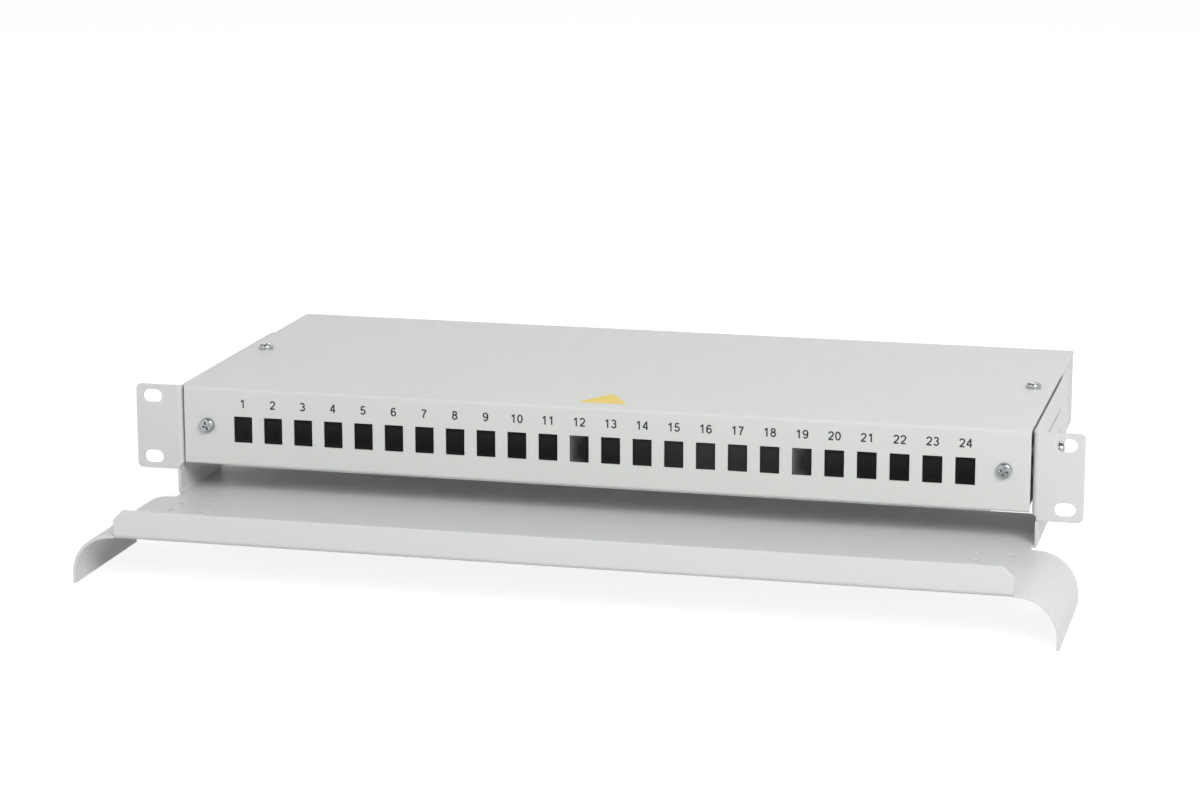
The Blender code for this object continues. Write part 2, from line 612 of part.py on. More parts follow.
def build_tray():
    """The cord tray: floor and front lip, two quarter-round wings and two cheeks, from one sheet."""
    floor_middle = TRAY_FLOOR_TOP - TRAY_SHEET / 2

    # lip and floor, folded along X, with the lip's top corners clipped
    lip_middle = LIP_FRONT + TRAY_SHEET / 2
    path = [(lip_middle, TRAY_LIP_TOP), (lip_middle, floor_middle), (TRAY_REAR, floor_middle)]
    tray = prism([sheet_section(path, TRAY_SHEET, TRAY_BEND)], "X", -HALF_LIP, HALF_LIP)
    corners = [
        [
            (side * (HALF_LIP + OVERRUN), TRAY_LIP_TOP + OVERRUN),
            (side * (HALF_LIP - TRAY_LIP_CHAMFER - OVERRUN), TRAY_LIP_TOP + OVERRUN),
            (side * (HALF_LIP + OVERRUN), TRAY_LIP_TOP - TRAY_LIP_CHAMFER - OVERRUN),
        ]
        for side in (-1, 1)
    ]
    tray = cut(tray, prism(corners, "Y", LIP_FRONT - OVERRUN, LIP_BACK + OVERRUN))

    # wings: the floor runs on past the lip and rolls down through a quarter circle
    bend_end = LIP_BACK + TRAY_BEND
    for side in (-1, 1):
        start = side * WING_START
        axis_z = TRAY_FLOOR_TOP - WING_RADIUS
        upright = 90
        outer = [(side * (HALF_LIP - REACH), TRAY_FLOOR_TOP)]
        outer += arc(start, axis_z, WING_RADIUS, upright, upright - side * 90, WING_STEPS)
        inner = [(side * (HALF_LIP - REACH), TRAY_UNDERSIDE)]
        inner += arc(start, axis_z, WING_RADIUS - TRAY_SHEET, upright, upright - side * 90, WING_STEPS)
        tail = axis_z - WING_TAIL
        outer.append((side * (WING_START + WING_RADIUS), tail))
        inner.append((side * (WING_START + WING_RADIUS - TRAY_SHEET), tail))
        wing = prism([outer + inner[::-1]], "Y", EAR_FRONT - WING_FRONT, EAR_FRONT - WING_REAR)
        notch = sorted((side * (HALF_LIP - 2 * REACH), side * HALF_LIP))
        through = (TRAY_UNDERSIDE - OVERRUN, TRAY_FLOOR_TOP + OVERRUN)
        wing = cut(wing, box(notch, (LIP_FRONT - REACH, bend_end), through))
        tray = join(tray, wing)

    # cheeks: folded up outside the brackets, each with an arm to the rear screw
    for side in (-1, 1):
        cheek_x = side * (CHEEK_OUTER - TRAY_SHEET / 2)
        path = [(side * (HALF_LIP - FAR_REACH), floor_middle), (cheek_x, floor_middle), (cheek_x, CHEEK_TOP)]
        cheek = prism([sheet_section(path, TRAY_SHEET, TRAY_BEND)], "Y", EAR_FRONT, CHEEK_ARM_REAR)
        corner = CHEEK_CORNER
        arm_foot = CHEEK_TOP - CHEEK_ARM_HEIGHT
        below = [
            (TRAY_REAR, TRAY_UNDERSIDE - FAR_REACH),
            (TRAY_REAR, TRAY_UNDERSIDE + CHEEK_REAR_HEIGHT),
            (TRAY_REAR + (arm_foot - TRAY_UNDERSIDE - CHEEK_REAR_HEIGHT), arm_foot),
            (CHEEK_ARM_REAR + FAR_REACH, arm_foot),
            (CHEEK_ARM_REAR + FAR_REACH, TRAY_UNDERSIDE - FAR_REACH),
        ]
        rear_corner = [
            (CHEEK_ARM_REAR - corner, CHEEK_TOP + FAR_REACH),
            (CHEEK_ARM_REAR - corner, CHEEK_TOP),
            (CHEEK_ARM_REAR, CHEEK_TOP - corner),
            (CHEEK_ARM_REAR + FAR_REACH, CHEEK_TOP - corner),
            (CHEEK_ARM_REAR + FAR_REACH, CHEEK_TOP + FAR_REACH),
        ]
        ear_rear = BRACKET_BEND + CHEEK_EAR_GAP
        ear_foot = -EAR_HEIGHT / 2 - SEAT_GAP
        ear_clear = rectangle(EAR_FRONT - FAR_REACH, ear_rear, ear_foot, CHEEK_TOP + FAR_REACH)
        holes = [circle(y, TRAY_SCREW_LEVEL, BORE_RADIUS) for y in TRAY_SCREW_PLACES]
        across = sorted((side * (HALF_LIP - 2 * FAR_REACH), side * (CHEEK_OUTER + FAR_REACH)))
        for outline in [below, rear_corner, ear_clear] + holes:
            cheek = cut(cheek, prism([outline], "X", across[0], across[1]))
        tray = join(tray, cheek)

    # bend reliefs between the wings and the cheeks
    for side in (-1, 1):
        relief = sorted((side * (CHEEK_OUTER - RELIEF_DEPTH), side * (CHEEK_OUTER + OVERRUN)))
        through = (TRAY_UNDERSIDE - OVERRUN, TRAY_FLOOR_TOP + OVERRUN)
        tray = cut(tray, box(relief, (EAR_FRONT - WING_REAR, EAR_FRONT), through))

    # cable tie slots
    slots = [
        rectangle(
            side * x - TIE_SLOT_WIDTH / 2, side * x + TIE_SLOT_WIDTH / 2,
            EAR_FRONT - y - TIE_SLOT_LENGTH / 2, EAR_FRONT - y + TIE_SLOT_LENGTH / 2,
        )
        for side in (-1, 1)
        for x in TIE_SLOT_COLUMNS
        for y in TIE_SLOT_ROWS
    ]
    return cut(tray, prism(slots, "Z", TRAY_UNDERSIDE - OVERRUN, TRAY_FLOOR_TOP + OVERRUN))


def build_tray_screw(side, y):
    """A screw through one of the tray's cheeks into the bracket."""
    length = CHEEK_OUTER + SEAT_GAP - BRACKET_INNER
    seat = (side * (CHEEK_OUTER + SEAT_GAP), y, TRAY_SCREW_LEVEL)
    return pan_head_screw("+X" if side > 0 else "-X", seat, length)


def port_places():
    """The middle of each port along X, from left to right."""
    first = -PORT_PITCH * (PORT_COUNT - 1) / 2
    return [first + PORT_PITCH * i for i in range(PORT_COUNT)]


def build_hood():
    """Top cover, front panel and bottom flange folded from one sheet, with ports and screw holes."""
    half = HOOD_SHEET / 2
    path = [
        (HOOD_REAR, HOOD_TOP - half),
        (PANEL_FRONT + half, HOOD_TOP - half),
        (PANEL_FRONT + half, FLANGE_FOOT + half),
        (PANEL_FRONT + PANEL_FLANGE_DEPTH, FLANGE_FOOT + half),
    ]
    hood = prism([sheet_section(path, HOOD_SHEET, HOOD_BEND)], "X", -HOOD_HALF_WIDTH, HOOD_HALF_WIDTH)

    # the bottom flange stops short of both ends
    flange_end = PANEL_FRONT + PANEL_FLANGE_DEPTH + OVERRUN
    outside = HOOD_HALF_WIDTH + OVERRUN
    ends = [
        rectangle(side * PANEL_FLANGE_HALF, side * outside, FLANGE_FOOT - REACH, PANEL_FOOT)
        for side in (-1, 1)
    ]
    hood = cut(hood, prism(ends, "Y", PANEL_FRONT - OVERRUN, flange_end))
    behind = [
        rectangle(side * PANEL_FLANGE_HALF, side * outside, FLANGE_FOOT - REACH, PANEL_FOOT + REACH)
        for side in (-1, 1)
    ]
    hood = cut(hood, prism(behind, "Y", PANEL_BACK, flange_end))

    # rounded rear corners
    r = HOOD_CORNER_RADIUS
    corners = [
        [(side * HOOD_HALF_WIDTH, HOOD_REAR + OVERRUN)]
        + [(side * (HOOD_HALF_WIDTH - r + p), HOOD_REAR - r + q) for p, q in arc(0, 0, r, 90, 0, 4)]
        + [(side * outside, HOOD_REAR - r), (side * outside, HOOD_REAR + OVERRUN)]
        for side in (-1, 1)
    ]
    hood = cut(hood, prism(corners, "Z", HOOD_UNDERSIDE - OVERRUN, HOOD_TOP + OVERRUN))

    # ports and front screw holes
    openings = [
        rectangle(
            x - PORT_WIDTH / 2, x + PORT_WIDTH / 2,
            PORT_LEVEL - PORT_HEIGHT / 2, PORT_LEVEL + PORT_HEIGHT / 2,
        )
        for x in port_places()
    ]
    openings += [circle(side * FRONT_SCREW_PLACE, FRONT_SCREW_LEVEL, BORE_RADIUS) for side in (-1, 1)]
    hood = cut(hood, prism(openings, "Y", PANEL_FRONT - OVERRUN, PANEL_BACK + OVERRUN))

    # top screw holes and the two small pips near the front edge
    screw_y = PANEL_FRONT + TOP_SCREW_FROM_FRONT
    holes = [circle(side * TOP_SCREW_PLACE, screw_y, BORE_RADIUS) for side in (-1, 1)]
    hood = cut(hood, prism(holes, "Z", HOOD_UNDERSIDE - OVERRUN, HOOD_TOP + OVERRUN))
    pip_y = PANEL_FRONT + PIP_FROM_FRONT
    pips = [circle(side * PIP_PLACE, pip_y, PIP_DIAMETER / 2, 12) for side in (-1, 1)]
    return join(hood, prism(pips, "Z", HOOD_TOP - HOOD_SHEET / 2, HOOD_TOP + PIP_HEIGHT))


def build_blank(x):
    """A port blank: a hollow plug that fills the cut-out, with a flange behind the panel."""
    width = PORT_WIDTH / 2 - SEAT_GAP
    height = PORT_HEIGHT / 2 - SEAT_GAP
    front = PANEL_FRONT + BLANK_RECESS
    flange = PANEL_BACK + SEAT_GAP
    edge = BLANK_EDGE
    outline = rectangle(x - width, x + width, PORT_LEVEL - height, PORT_LEVEL + height)
    body = prism([outline], "Y", front + edge, front + BLANK_DEPTH)
    bm = bmesh.new()
    bm.from_mesh(body.data)
    bm.faces.ensure_lookup_table()
    face = min(bm.faces, key=lambda f: f.calc_center_median().y)
    result = bmesh.ops.extrude_face_region(bm, geom=[face])
    for vertex in [item for item in result["geom"] if isinstance(item, bmesh.types.BMVert)]:
        vertex.co.y = front
        vertex.co.x = x + (vertex.co.x - x) * (width - edge) / width
        vertex.co.z = PORT_LEVEL + (vertex.co.z - PORT_LEVEL) * (height - edge) / height
    bpy.data.objects.remove(body, do_unlink=True)
    bmesh.ops.delete(bm, geom=[face], context="FACES_ONLY")
    blank = add_object("blank", bm)
    side = BLANK_FLANGE_SIDE
    across = width + side
    up = height + side
    rim = rectangle(x - across, x + across, PORT_LEVEL - up, PORT_LEVEL + up)
    blank = join(blank, prism([rim], "Y", flange, flange + BLANK_FLANGE_THICKNESS))
    wall = BLANK_WALL
    inner_width = width - wall
    inner_height = height - wall
    hollow = rectangle(x - inner_width, x + inner_width, PORT_LEVEL - inner_height, PORT_LEVEL + inner_height)
    return cut(blank, prism([hollow], "Y", flange + BLANK_FLANGE_THICKNESS, front + BLANK_DEPTH + OVERRUN))


def build_housing():
    """The sliding base: floor, sides, rear wall, flanges for the hood, guide tabs and cable entries."""
    half = HOUSING_SHEET / 2
    side_x = HOUSING_OUTER - half
    top_z = HOUSING_TOP - half
    floor_z = HOUSING_FOOT + half
    path = [
        (-HOUSING_OUTER + TOP_FLANGE_WIDTH, top_z),
        (-side_x, top_z),
        (-side_x, floor_z),
        (side_x, floor_z),
        (side_x, top_z),
        (HOUSING_OUTER - TOP_FLANGE_WIDTH, top_z),
    ]
    front_edge = HOUSING_FRONT + HOUSING_SHEET + HOUSING_BEND
    housing = prism([sheet_section(path, HOUSING_SHEET, HOUSING_BEND)], "Y", front_edge, HOUSING_REAR)

    # rear wall, folded up from the floor, with a flange under the hood
    rear_y = HOUSING_REAR - half
    path = [
        (rear_y - FAR_REACH, floor_z),
        (rear_y, floor_z),
        (rear_y, top_z),
        (HOUSING_REAR - REAR_FLANGE_WIDTH, top_z),
    ]
    wall_reach = HOUSING_INNER + half
    wall = prism([sheet_section(path, HOUSING_SHEET, HOUSING_BEND)], "X", -wall_reach, wall_reach)
    housing = join(housing, wall)

    # front flanges, folded in behind the front panel
    for side in (-1, 1):
        path = [
            (side * side_x, front_edge + FAR_REACH),
            (side * side_x, HOUSING_FRONT + half),
            (side * (HOUSING_OUTER - FRONT_FLANGE_WIDTH), HOUSING_FRONT + half),
        ]
        low = HOUSING_FLOOR + HOUSING_BEND + half
        high = HOUSING_TOP - HOUSING_SHEET - HOUSING_BEND - half
        housing = join(housing, prism([sheet_section(path, HOUSING_SHEET, HOUSING_BEND)], "Z", low, high))

        # guide tabs, turned out into the bracket's slits
        out = BRACKET_OUTER - SEAT_GAP
        for level in GUIDE_SLIT_LEVELS:
            tab = sorted((side * side_x, side * out))
            housing = join(housing, box(tab, (GUIDE_TAB_FRONT, GUIDE_TAB_REAR), (level - half, level + half)))

    # cable entries and earth stud hole in the rear wall
    entries = [
        circle(side * x, ENTRY_LEVEL, ENTRY_HOLE_DIAMETER / 2)
        for side in (-1, 1)
        for x in (GLAND_PLACE, PLUG_PLACE)
    ]
    entries.append(circle(-EARTH_PLACE, ENTRY_LEVEL, EARTH_STUD_DIAMETER / 2 + SEAT_GAP))
    wall_front = HOUSING_REAR - HOUSING_SHEET - OVERLAP
    housing = cut(housing, prism(entries, "Y", wall_front, HOUSING_REAR + OVERRUN))

    # screw holes in the front and top flanges, and holes for studs and rivets in the floor
    flange_back = HOUSING_FRONT + HOUSING_SHEET + OVERLAP
    front_holes = [circle(side * FRONT_SCREW_PLACE, FRONT_SCREW_LEVEL, BORE_RADIUS) for side in (-1, 1)]
    housing = cut(housing, prism(front_holes, "Y", HOUSING_FRONT - OVERRUN, flange_back))
    flange_under = HOUSING_TOP - HOUSING_SHEET - OVERLAP
    screw_y = PANEL_FRONT + TOP_SCREW_FROM_FRONT
    top_holes = [circle(side * TOP_SCREW_PLACE, screw_y, BORE_RADIUS) for side in (-1, 1)]
    housing = cut(housing, prism(top_holes, "Z", flange_under, HOUSING_TOP + OVERRUN))
    rivet_bore = RIVET_DIAMETER / 2 + SEAT_GAP
    rivet_holes = [circle(side * GLAND_PLACE, anchor_rivet_y(), rivet_bore) for side in (-1, 1)]
    housing = cut(housing, prism(rivet_holes, "Z", HOUSING_FOOT - OVERRUN, HOUSING_FLOOR + OVERLAP))

    # pressed into the sheet: clinch nuts behind the flanges, studs for the cassettes on the floor
    grip = HOUSING_SHEET / 2
    nut = CLINCH_NUT_DIAMETER / 2
    rise = CLINCH_NUT_HEIGHT + grip
    stud = STUD_DIAMETER / 2
    collar = STUD_COLLAR_DIAMETER / 2
    stud_length = cassette_levels()[2] + LID_THICKNESS + STUD_SPARE - HOUSING_FLOOR + grip
    stud_profile = [
        (0.0, 0.0),
        (collar, 0.0),
        (collar, grip + STUD_COLLAR_HEIGHT),
        (stud, grip + STUD_COLLAR_HEIGHT),
        (stud, stud_length - OVERLAP),
        (stud - OVERLAP, stud_length),
        (0.0, stud_length),
    ]
    for side in (-1, 1):
        front_seat = (side * FRONT_SCREW_PLACE, HOUSING_FRONT + HOUSING_SHEET - grip, FRONT_SCREW_LEVEL)
        housing = join(housing, ring("+Y", front_seat, nut, BORE_RADIUS, rise))
        top_seat = (side * TOP_SCREW_PLACE, screw_y, HOUSING_TOP - HOUSING_SHEET + grip)
        housing = join(housing, ring("-Z", top_seat, nut, BORE_RADIUS, rise))
        stud_seat = (side * STUD_PLACE, CASSETTE_MIDDLE, HOUSING_FLOOR - grip)
        housing = join(housing, turned(stud_profile, "+Z", stud_seat, 16))
    return housing


def hood_screw_length():
    """From under the head to just past the clinch nut."""
    return HOOD_SHEET + 2 * SEAT_GAP + HOUSING_SHEET + CLINCH_NUT_HEIGHT + SCREW_PAST_NUT


def build_front_screw(side):
    """A screw through the front panel into the housing's flange."""
    seat = (side * FRONT_SCREW_PLACE, PANEL_FRONT - SEAT_GAP, FRONT_SCREW_LEVEL)
    return pan_head_screw("-Y", seat, hood_screw_length())


def build_top_screw(side):
    """A screw through the top cover into the housing's flange."""
    seat = (side * TOP_SCREW_PLACE, PANEL_FRONT + TOP_SCREW_FROM_FRONT, HOOD_TOP + SEAT_GAP)
    return pan_head_screw("+Z", seat, hood_screw_length())


def cassette_levels():
    """The undersides of the two cassettes and of the lid, from the floor up."""
    lower = HOUSING_FLOOR + STUD_COLLAR_HEIGHT + SEAT_GAP
    upper = lower + CASSETTE_HEIGHT + SEAT_GAP
    lid = upper + CASSETTE_HEIGHT + SEAT_GAP
    return lower, upper, lid


def build_cassette(level):
    """A splice cassette: rim with two fibre mouths, two round mandrels and retaining fingers."""
    y = CASSETTE_MIDDLE
    length = CASSETTE_LENGTH / 2
    width = CASSETTE_WIDTH / 2
    top = level + CASSETTE_HEIGHT
    floor = level + CASSETTE_FLOOR
    outer = rounded_rectangle(-length, length, y - width, y + width, CASSETTE_CORNER, 6)
    w = CASSETTE_WALL
    inner = rounded_rectangle(-length + w, length - w, y - width + w, y + width - w, CASSETTE_CORNER - w, 6)
    cassette = prism([outer], "Z", level, top)
    cassette = cut(cassette, prism([inner], "Z", floor, top + OVERRUN))

    # mandrels that keep the fibre's bend wide
    mandrel_top = top - FINGER_THICKNESS - MANDREL_CLEARANCE
    for side in (-1, 1):
        ring = [
            (MANDREL_RADIUS - w, 0.0),
            (MANDREL_RADIUS, 0.0),
            (MANDREL_RADIUS, mandrel_top - floor + OVERLAP),
            (MANDREL_RADIUS - w, mandrel_top - floor + OVERLAP),
        ]
        x = side * MANDREL_PLACE
        mandrel = turned(ring, "+Z", (x, y, floor - OVERLAP), 28)
        gap = rectangle(x - MANDREL_RADIUS, x + MANDREL_RADIUS, y - MANDREL_MOUTH / 2, y + MANDREL_MOUTH / 2)
        mandrel = cut(mandrel, prism([gap], "Z", floor - 2 * OVERLAP, top))
        cassette = join(cassette, mandrel)

    # fibre mouths in the front wall, and fingers along both long walls
    mouth = CASSETTE_MOUTH / 2
    mouth_ends = (y - width - OVERRUN, y - width + w + OVERRUN)
    mouths = [
        rectangle(side * MANDREL_PLACE - mouth, side * MANDREL_PLACE + mouth, mouth_ends[0], mouth_ends[1])
        for side in (-1, 1)
    ]
    cassette = cut(cassette, prism(mouths, "Z", floor, top + OVERRUN))
    fingers = []
    for x in (-MANDREL_PLACE / 2, 0.0, MANDREL_PLACE / 2):
        for wall_y, way in ((y - width + w / 2, 1), (y + width - w / 2, -1)):
            ends = sorted((wall_y, wall_y + way * FINGER_LENGTH))
            fingers.append(rectangle(x - FINGER_WIDTH / 2, x + FINGER_WIDTH / 2, ends[0], ends[1]))
    cassette = join(cassette, prism(fingers, "Z", top - FINGER_THICKNESS, top))
    bores = [circle(side * STUD_PLACE, y, STUD_DIAMETER / 2 + SEAT_GAP, 16) for side in (-1, 1)]
    return cut(cassette, prism(bores, "Z", level - OVERRUN, floor + OVERRUN))


def build_splice_holder(level):
    """A comb that grips the splice sleeves, standing on the cassette's floor."""
    y = CASSETTE_MIDDLE
    base = level + CASSETTE_FLOOR + SEAT_GAP
    pitch = (HOLDER_WIDTH - HOLDER_RIB_WIDTH) / (HOLDER_RIB_COUNT - 1)
    left = -HOLDER_WIDTH / 2
    outline = [(left, base)]
    outline.append((left + HOLDER_WIDTH, base))
    for i in reversed(range(HOLDER_RIB_COUNT)):
        start = left + i * pitch
        tip = base + HOLDER_BASE + HOLDER_RIB_HEIGHT
        taper = 0.2 * HOLDER_RIB_WIDTH
        outline.append((start + HOLDER_RIB_WIDTH, base + HOLDER_BASE))
        outline.append((start + HOLDER_RIB_WIDTH - taper, tip))
        outline.append((start + taper, tip))
        outline.append((start, base + HOLDER_BASE))
    holder = prism([outline], "Y", y - HOLDER_DEPTH / 2, y + HOLDER_DEPTH / 2)
    channel = box(
        (left - OVERRUN, left + HOLDER_WIDTH + OVERRUN),
        (y - HOLDER_CHANNEL / 2, y + HOLDER_CHANNEL / 2),
        (base + HOLDER_BASE, base + HOLDER_BASE + HOLDER_RIB_HEIGHT + OVERRUN),
    )
    return cut(holder, channel)


def build_cassette_lid():
    """The clear lid over the upper cassette, with stud holes and a finger notch."""
    y = CASSETTE_MIDDLE
    level = cassette_levels()[2]
    length = CASSETTE_LENGTH / 2
    width = CASSETTE_WIDTH / 2
    outline = rounded_rectangle(-length, length, y - width, y + width, CASSETTE_CORNER, 6)
    lid = prism([outline], "Z", level, level + LID_THICKNESS)
    bores = [circle(side * STUD_PLACE, y, STUD_DIAMETER / 2 + SEAT_GAP, 16) for side in (-1, 1)]
    bores.append(circle(0.0, y - width, LID_NOTCH_RADIUS, 24))
    return cut(lid, prism(bores, "Z", level - OVERRUN, level + LID_THICKNESS + OVERRUN))


def build_cassette_nut(side):
    """A knurled nut that holds the lid and the cassettes down."""
    level = cassette_levels()[2] + LID_THICKNESS + SEAT_GAP
    outer = KNURLED_NUT_DIAMETER / 2
    bore = STUD_DIAMETER / 2 + SEAT_GAP
    neck = 0.72 * outer
    profile = [
        (bore, 0.0),
        (neck, 0.0),
        (neck, 0.35 * KNURLED_NUT_HEIGHT),
        (outer, 0.35 * KNURLED_NUT_HEIGHT),
        (outer, 0.92 * KNURLED_NUT_HEIGHT),
        (0.94 * outer, KNURLED_NUT_HEIGHT),
        (bore, KNURLED_NUT_HEIGHT),
    ]
    return turned(profile, "+Z", (side * STUD_PLACE, CASSETTE_MIDDLE, level), 20)


def build_fibre_guide(side):
    """An open ring on the floor that leads the fibres past the cassettes."""
    x = side * GUIDE_RING_PLACE
    y = PANEL_FRONT + GUIDE_RING_FROM_FRONT
    low = HOUSING_FLOOR + SEAT_GAP
    high = low + GUIDE_RING_HEIGHT
    wall = GUIDE_RING_WALL
    half = GUIDE_RING_WIDTH / 2
    outline = rounded_rectangle(x - half, x + half, low, high, GUIDE_RING_CORNER)
    ring = prism([outline], "Y", y - GUIDE_RING_LENGTH / 2, y + GUIDE_RING_LENGTH / 2)
    ends = (y - GUIDE_RING_LENGTH / 2 - OVERRUN, y + GUIDE_RING_LENGTH / 2 + OVERRUN)
    inner_corner = GUIDE_RING_CORNER - wall
    hollow = rounded_rectangle(x - half + wall, x + half - wall, low + wall, high - wall, inner_corner)
    ring = cut(ring, prism([hollow], "Y", ends[0], ends[1]))
    mouth = GUIDE_RING_MOUTH / 2
    slant = GUIDE_RING_SLANT
    opening = [
        (x - mouth - slant, high + OVERRUN),
        (x - mouth + slant, high - wall - OVERRUN),
        (x + mouth + slant, high - wall - OVERRUN),
        (x + mouth - slant, high + OVERRUN),
    ]
    return cut(ring, prism([opening], "Y", ends[0], ends[1]))


def anchor_rivet_y():
    """The rivet's place along Y, in the middle of the tie anchor's foot."""
    return HOUSING_REAR - ANCHOR_FROM_REAR - ANCHOR_FOOT / 2


def build_tie_anchor(side):
    """A small folded bracket before each gland, slotted for the tie that holds the cable."""
    x = side * GLAND_PLACE
    sheet = ANCHOR_SHEET
    low = HOUSING_FLOOR + SEAT_GAP + sheet / 2
    start = HOUSING_REAR - ANCHOR_FROM_REAR - ANCHOR_FOOT
    bend_y = start + ANCHOR_FOOT
    path = [
        (start, low),
        (bend_y, low),
        (bend_y, low + ANCHOR_RISE),
        (bend_y + ANCHOR_SHELF, low + ANCHOR_RISE),
    ]
    ends = (x - ANCHOR_WIDTH / 2, x + ANCHOR_WIDTH / 2)
    anchor = prism([sheet_section(path, sheet, HOUSING_BEND)], "X", ends[0], ends[1])
    shelf_y = bend_y + ANCHOR_SHELF / 2 + HOUSING_BEND
    slots = [
        rectangle(
            x + way * ANCHOR_SLOT_SPACING / 2 - ANCHOR_SLOT_WIDTH / 2,
            x + way * ANCHOR_SLOT_SPACING / 2 + ANCHOR_SLOT_WIDTH / 2,
            shelf_y - ANCHOR_SLOT_LENGTH / 2, shelf_y + ANCHOR_SLOT_LENGTH / 2,
        )
        for way in (-1, 1)
    ]
    anchor = cut(anchor, prism(slots, "Z", low + ANCHOR_RISE - sheet, low + ANCHOR_RISE + sheet))

    # the rivet that is clenched in the foot and passes through the floor
    seat = low
    shank = RIVET_DIAMETER / 2
    head = RIVET_HEAD_DIAMETER / 2
    rise = sheet / 2 + RIVET_HEAD_HEIGHT
    profile = [
        (0.0, HOUSING_FOOT - seat),
        (shank, HOUSING_FOOT - seat),
        (shank, 0.0),
        (head, 0.0),
        (head, rise - 0.5 * RIVET_HEAD_HEIGHT),
        (0.5 * head, rise),
        (0.0, rise),
    ]
    return join(anchor, turned(profile, "+Z", (x, anchor_rivet_y(), seat), 16))


def build_gland(side):
    """A cable gland: body through the rear wall, lock nut inside, seal and cap outside."""
    centre = (side * GLAND_PLACE, HOUSING_REAR, ENTRY_LEVEL)
    bore = GLAND_BORE_DIAMETER / 2
    thread = GLAND_THREAD_DIAMETER / 2
    corner = GLAND_HEX_SPAN / 2 / math.cos(math.pi / 6)
    hex_start = SEAT_GAP
    hex_end = hex_start + GLAND_HEX_LENGTH
    out_end = hex_end + GLAND_OUTER_LENGTH
    neck = thread - GLAND_NECK_STEP
    inner_end = -GLAND_INNER_LENGTH
    tail = hex_start + OVERRUN
    body = turned([(bore, inner_end), (thread, inner_end), (thread, tail), (bore, tail)], "+Y", centre, 20)
    hexagon = [(bore, hex_start), (corner, hex_start), (corner, hex_end), (bore, hex_end)]
    collar = turned(hexagon, "+Y", centre, 6, math.pi / 6)
    root = hex_end - OVERRUN
    sleeve = [(bore, root), (neck, root), (neck, out_end), (bore, out_end)]
    collar = join(collar, turned(sleeve, "+Y", centre, 20))
    body = join(body, collar)
    past = out_end + OVERRUN
    through = [(0.0, 2 * inner_end), (bore, 2 * inner_end), (bore, past), (0.0, past)]
    body = cut(body, turned(through, "+Y", centre, 20))

    nut_seat = (centre[0], HOUSING_REAR - HOUSING_SHEET - SEAT_GAP, centre[2])
    locknut = hex_nut("-Y", nut_seat, GLAND_HEX_SPAN, thread + SEAT_GAP, GLAND_NUT_LENGTH)

    seal_outer = bore - SEAT_GAP
    seal_bore = GLAND_SEAL_BORE / 2
    seal = turned(
        [
            (seal_bore, hex_end), (seal_outer, hex_end),
            (seal_outer, out_end), (seal_outer - GLAND_SEAL_LIP / 2, out_end + GLAND_SEAL_LIP),
            (seal_bore, out_end + GLAND_SEAL_LIP),
        ],
        "+Y", centre, 20,
    )

    cap_low = hex_end + SEAT_GAP
    cap_high = cap_low + GLAND_CAP_LENGTH
    outer = corner - GLAND_CAP_INSET
    mouth = GLAND_CAP_MOUTH / 2
    inner = neck + SEAT_GAP
    shoulder = out_end + GLAND_SEAL_LIP + SEAT_GAP
    taper = GLAND_CAP_TAPER
    cap = turned(
        [
            (inner, cap_low), (outer, cap_low), (outer, cap_high - taper),
            (outer - taper / 6, cap_high - 7 * taper / 12), (outer - taper / 2, cap_high),
            (mouth, cap_high), (mouth, shoulder + GLAND_NECK_STEP), (inner, shoulder),
        ],
        "+Y", centre, 20,
    )
    return body, locknut, seal, cap


def build_entry_plug(side):
    """A push-in plug that closes a spare cable entry: domed head outside, hollow skirt inside."""
    centre = (side * PLUG_PLACE, HOUSING_REAR + SEAT_GAP, ENTRY_LEVEL)
    head = PLUG_HEAD_DIAMETER / 2
    skirt = ENTRY_HOLE_DIAMETER / 2 - SEAT_GAP
    inside = -HOUSING_SHEET - SEAT_GAP - PLUG_BODY_LENGTH
    profile = [
        (0.0, -PLUG_WALL),
        (skirt - PLUG_WALL, -PLUG_WALL),
        (skirt - PLUG_WALL, inside),
        (skirt - PLUG_WALL / 2, inside),
        (skirt, inside + PLUG_LEAD),
        (skirt, 0.0),
        (head, 0.0),
        (head, 0.4 * PLUG_HEAD_HEIGHT),
        (0.85 * head, PLUG_HEAD_HEIGHT),
        (0.0, PLUG_HEAD_HEIGHT),
    ]
    return turned(profile, "+Y", centre, 20)


def build_earth():
    """The earth stud through the rear wall and its nut."""
    seat = (-EARTH_PLACE, HOUSING_REAR - HOUSING_SHEET - SEAT_GAP, ENTRY_LEVEL)
    shank = EARTH_STUD_DIAMETER / 2
    head = EARTH_STUD_HEAD / 2
    head_height = EARTH_STUD_HEAD_HEIGHT
    end = EARTH_STUD_LENGTH
    profile = [
        (0.0, -head_height),
        (head, -head_height),
        (head, 0.0),
        (shank, 0.0),
        (shank, end - OVERLAP),
        (shank - OVERLAP, end),
        (0.0, end),
    ]
    stud = turned(profile, "+Y", seat, 20)
    nut_seat = (seat[0], HOUSING_REAR + SEAT_GAP, seat[2])
    nut = hex_nut("+Y", nut_seat, EARTH_NUT_SPAN, shank + SEAT_GAP, EARTH_NUT_HEIGHT)
    return stud, nut


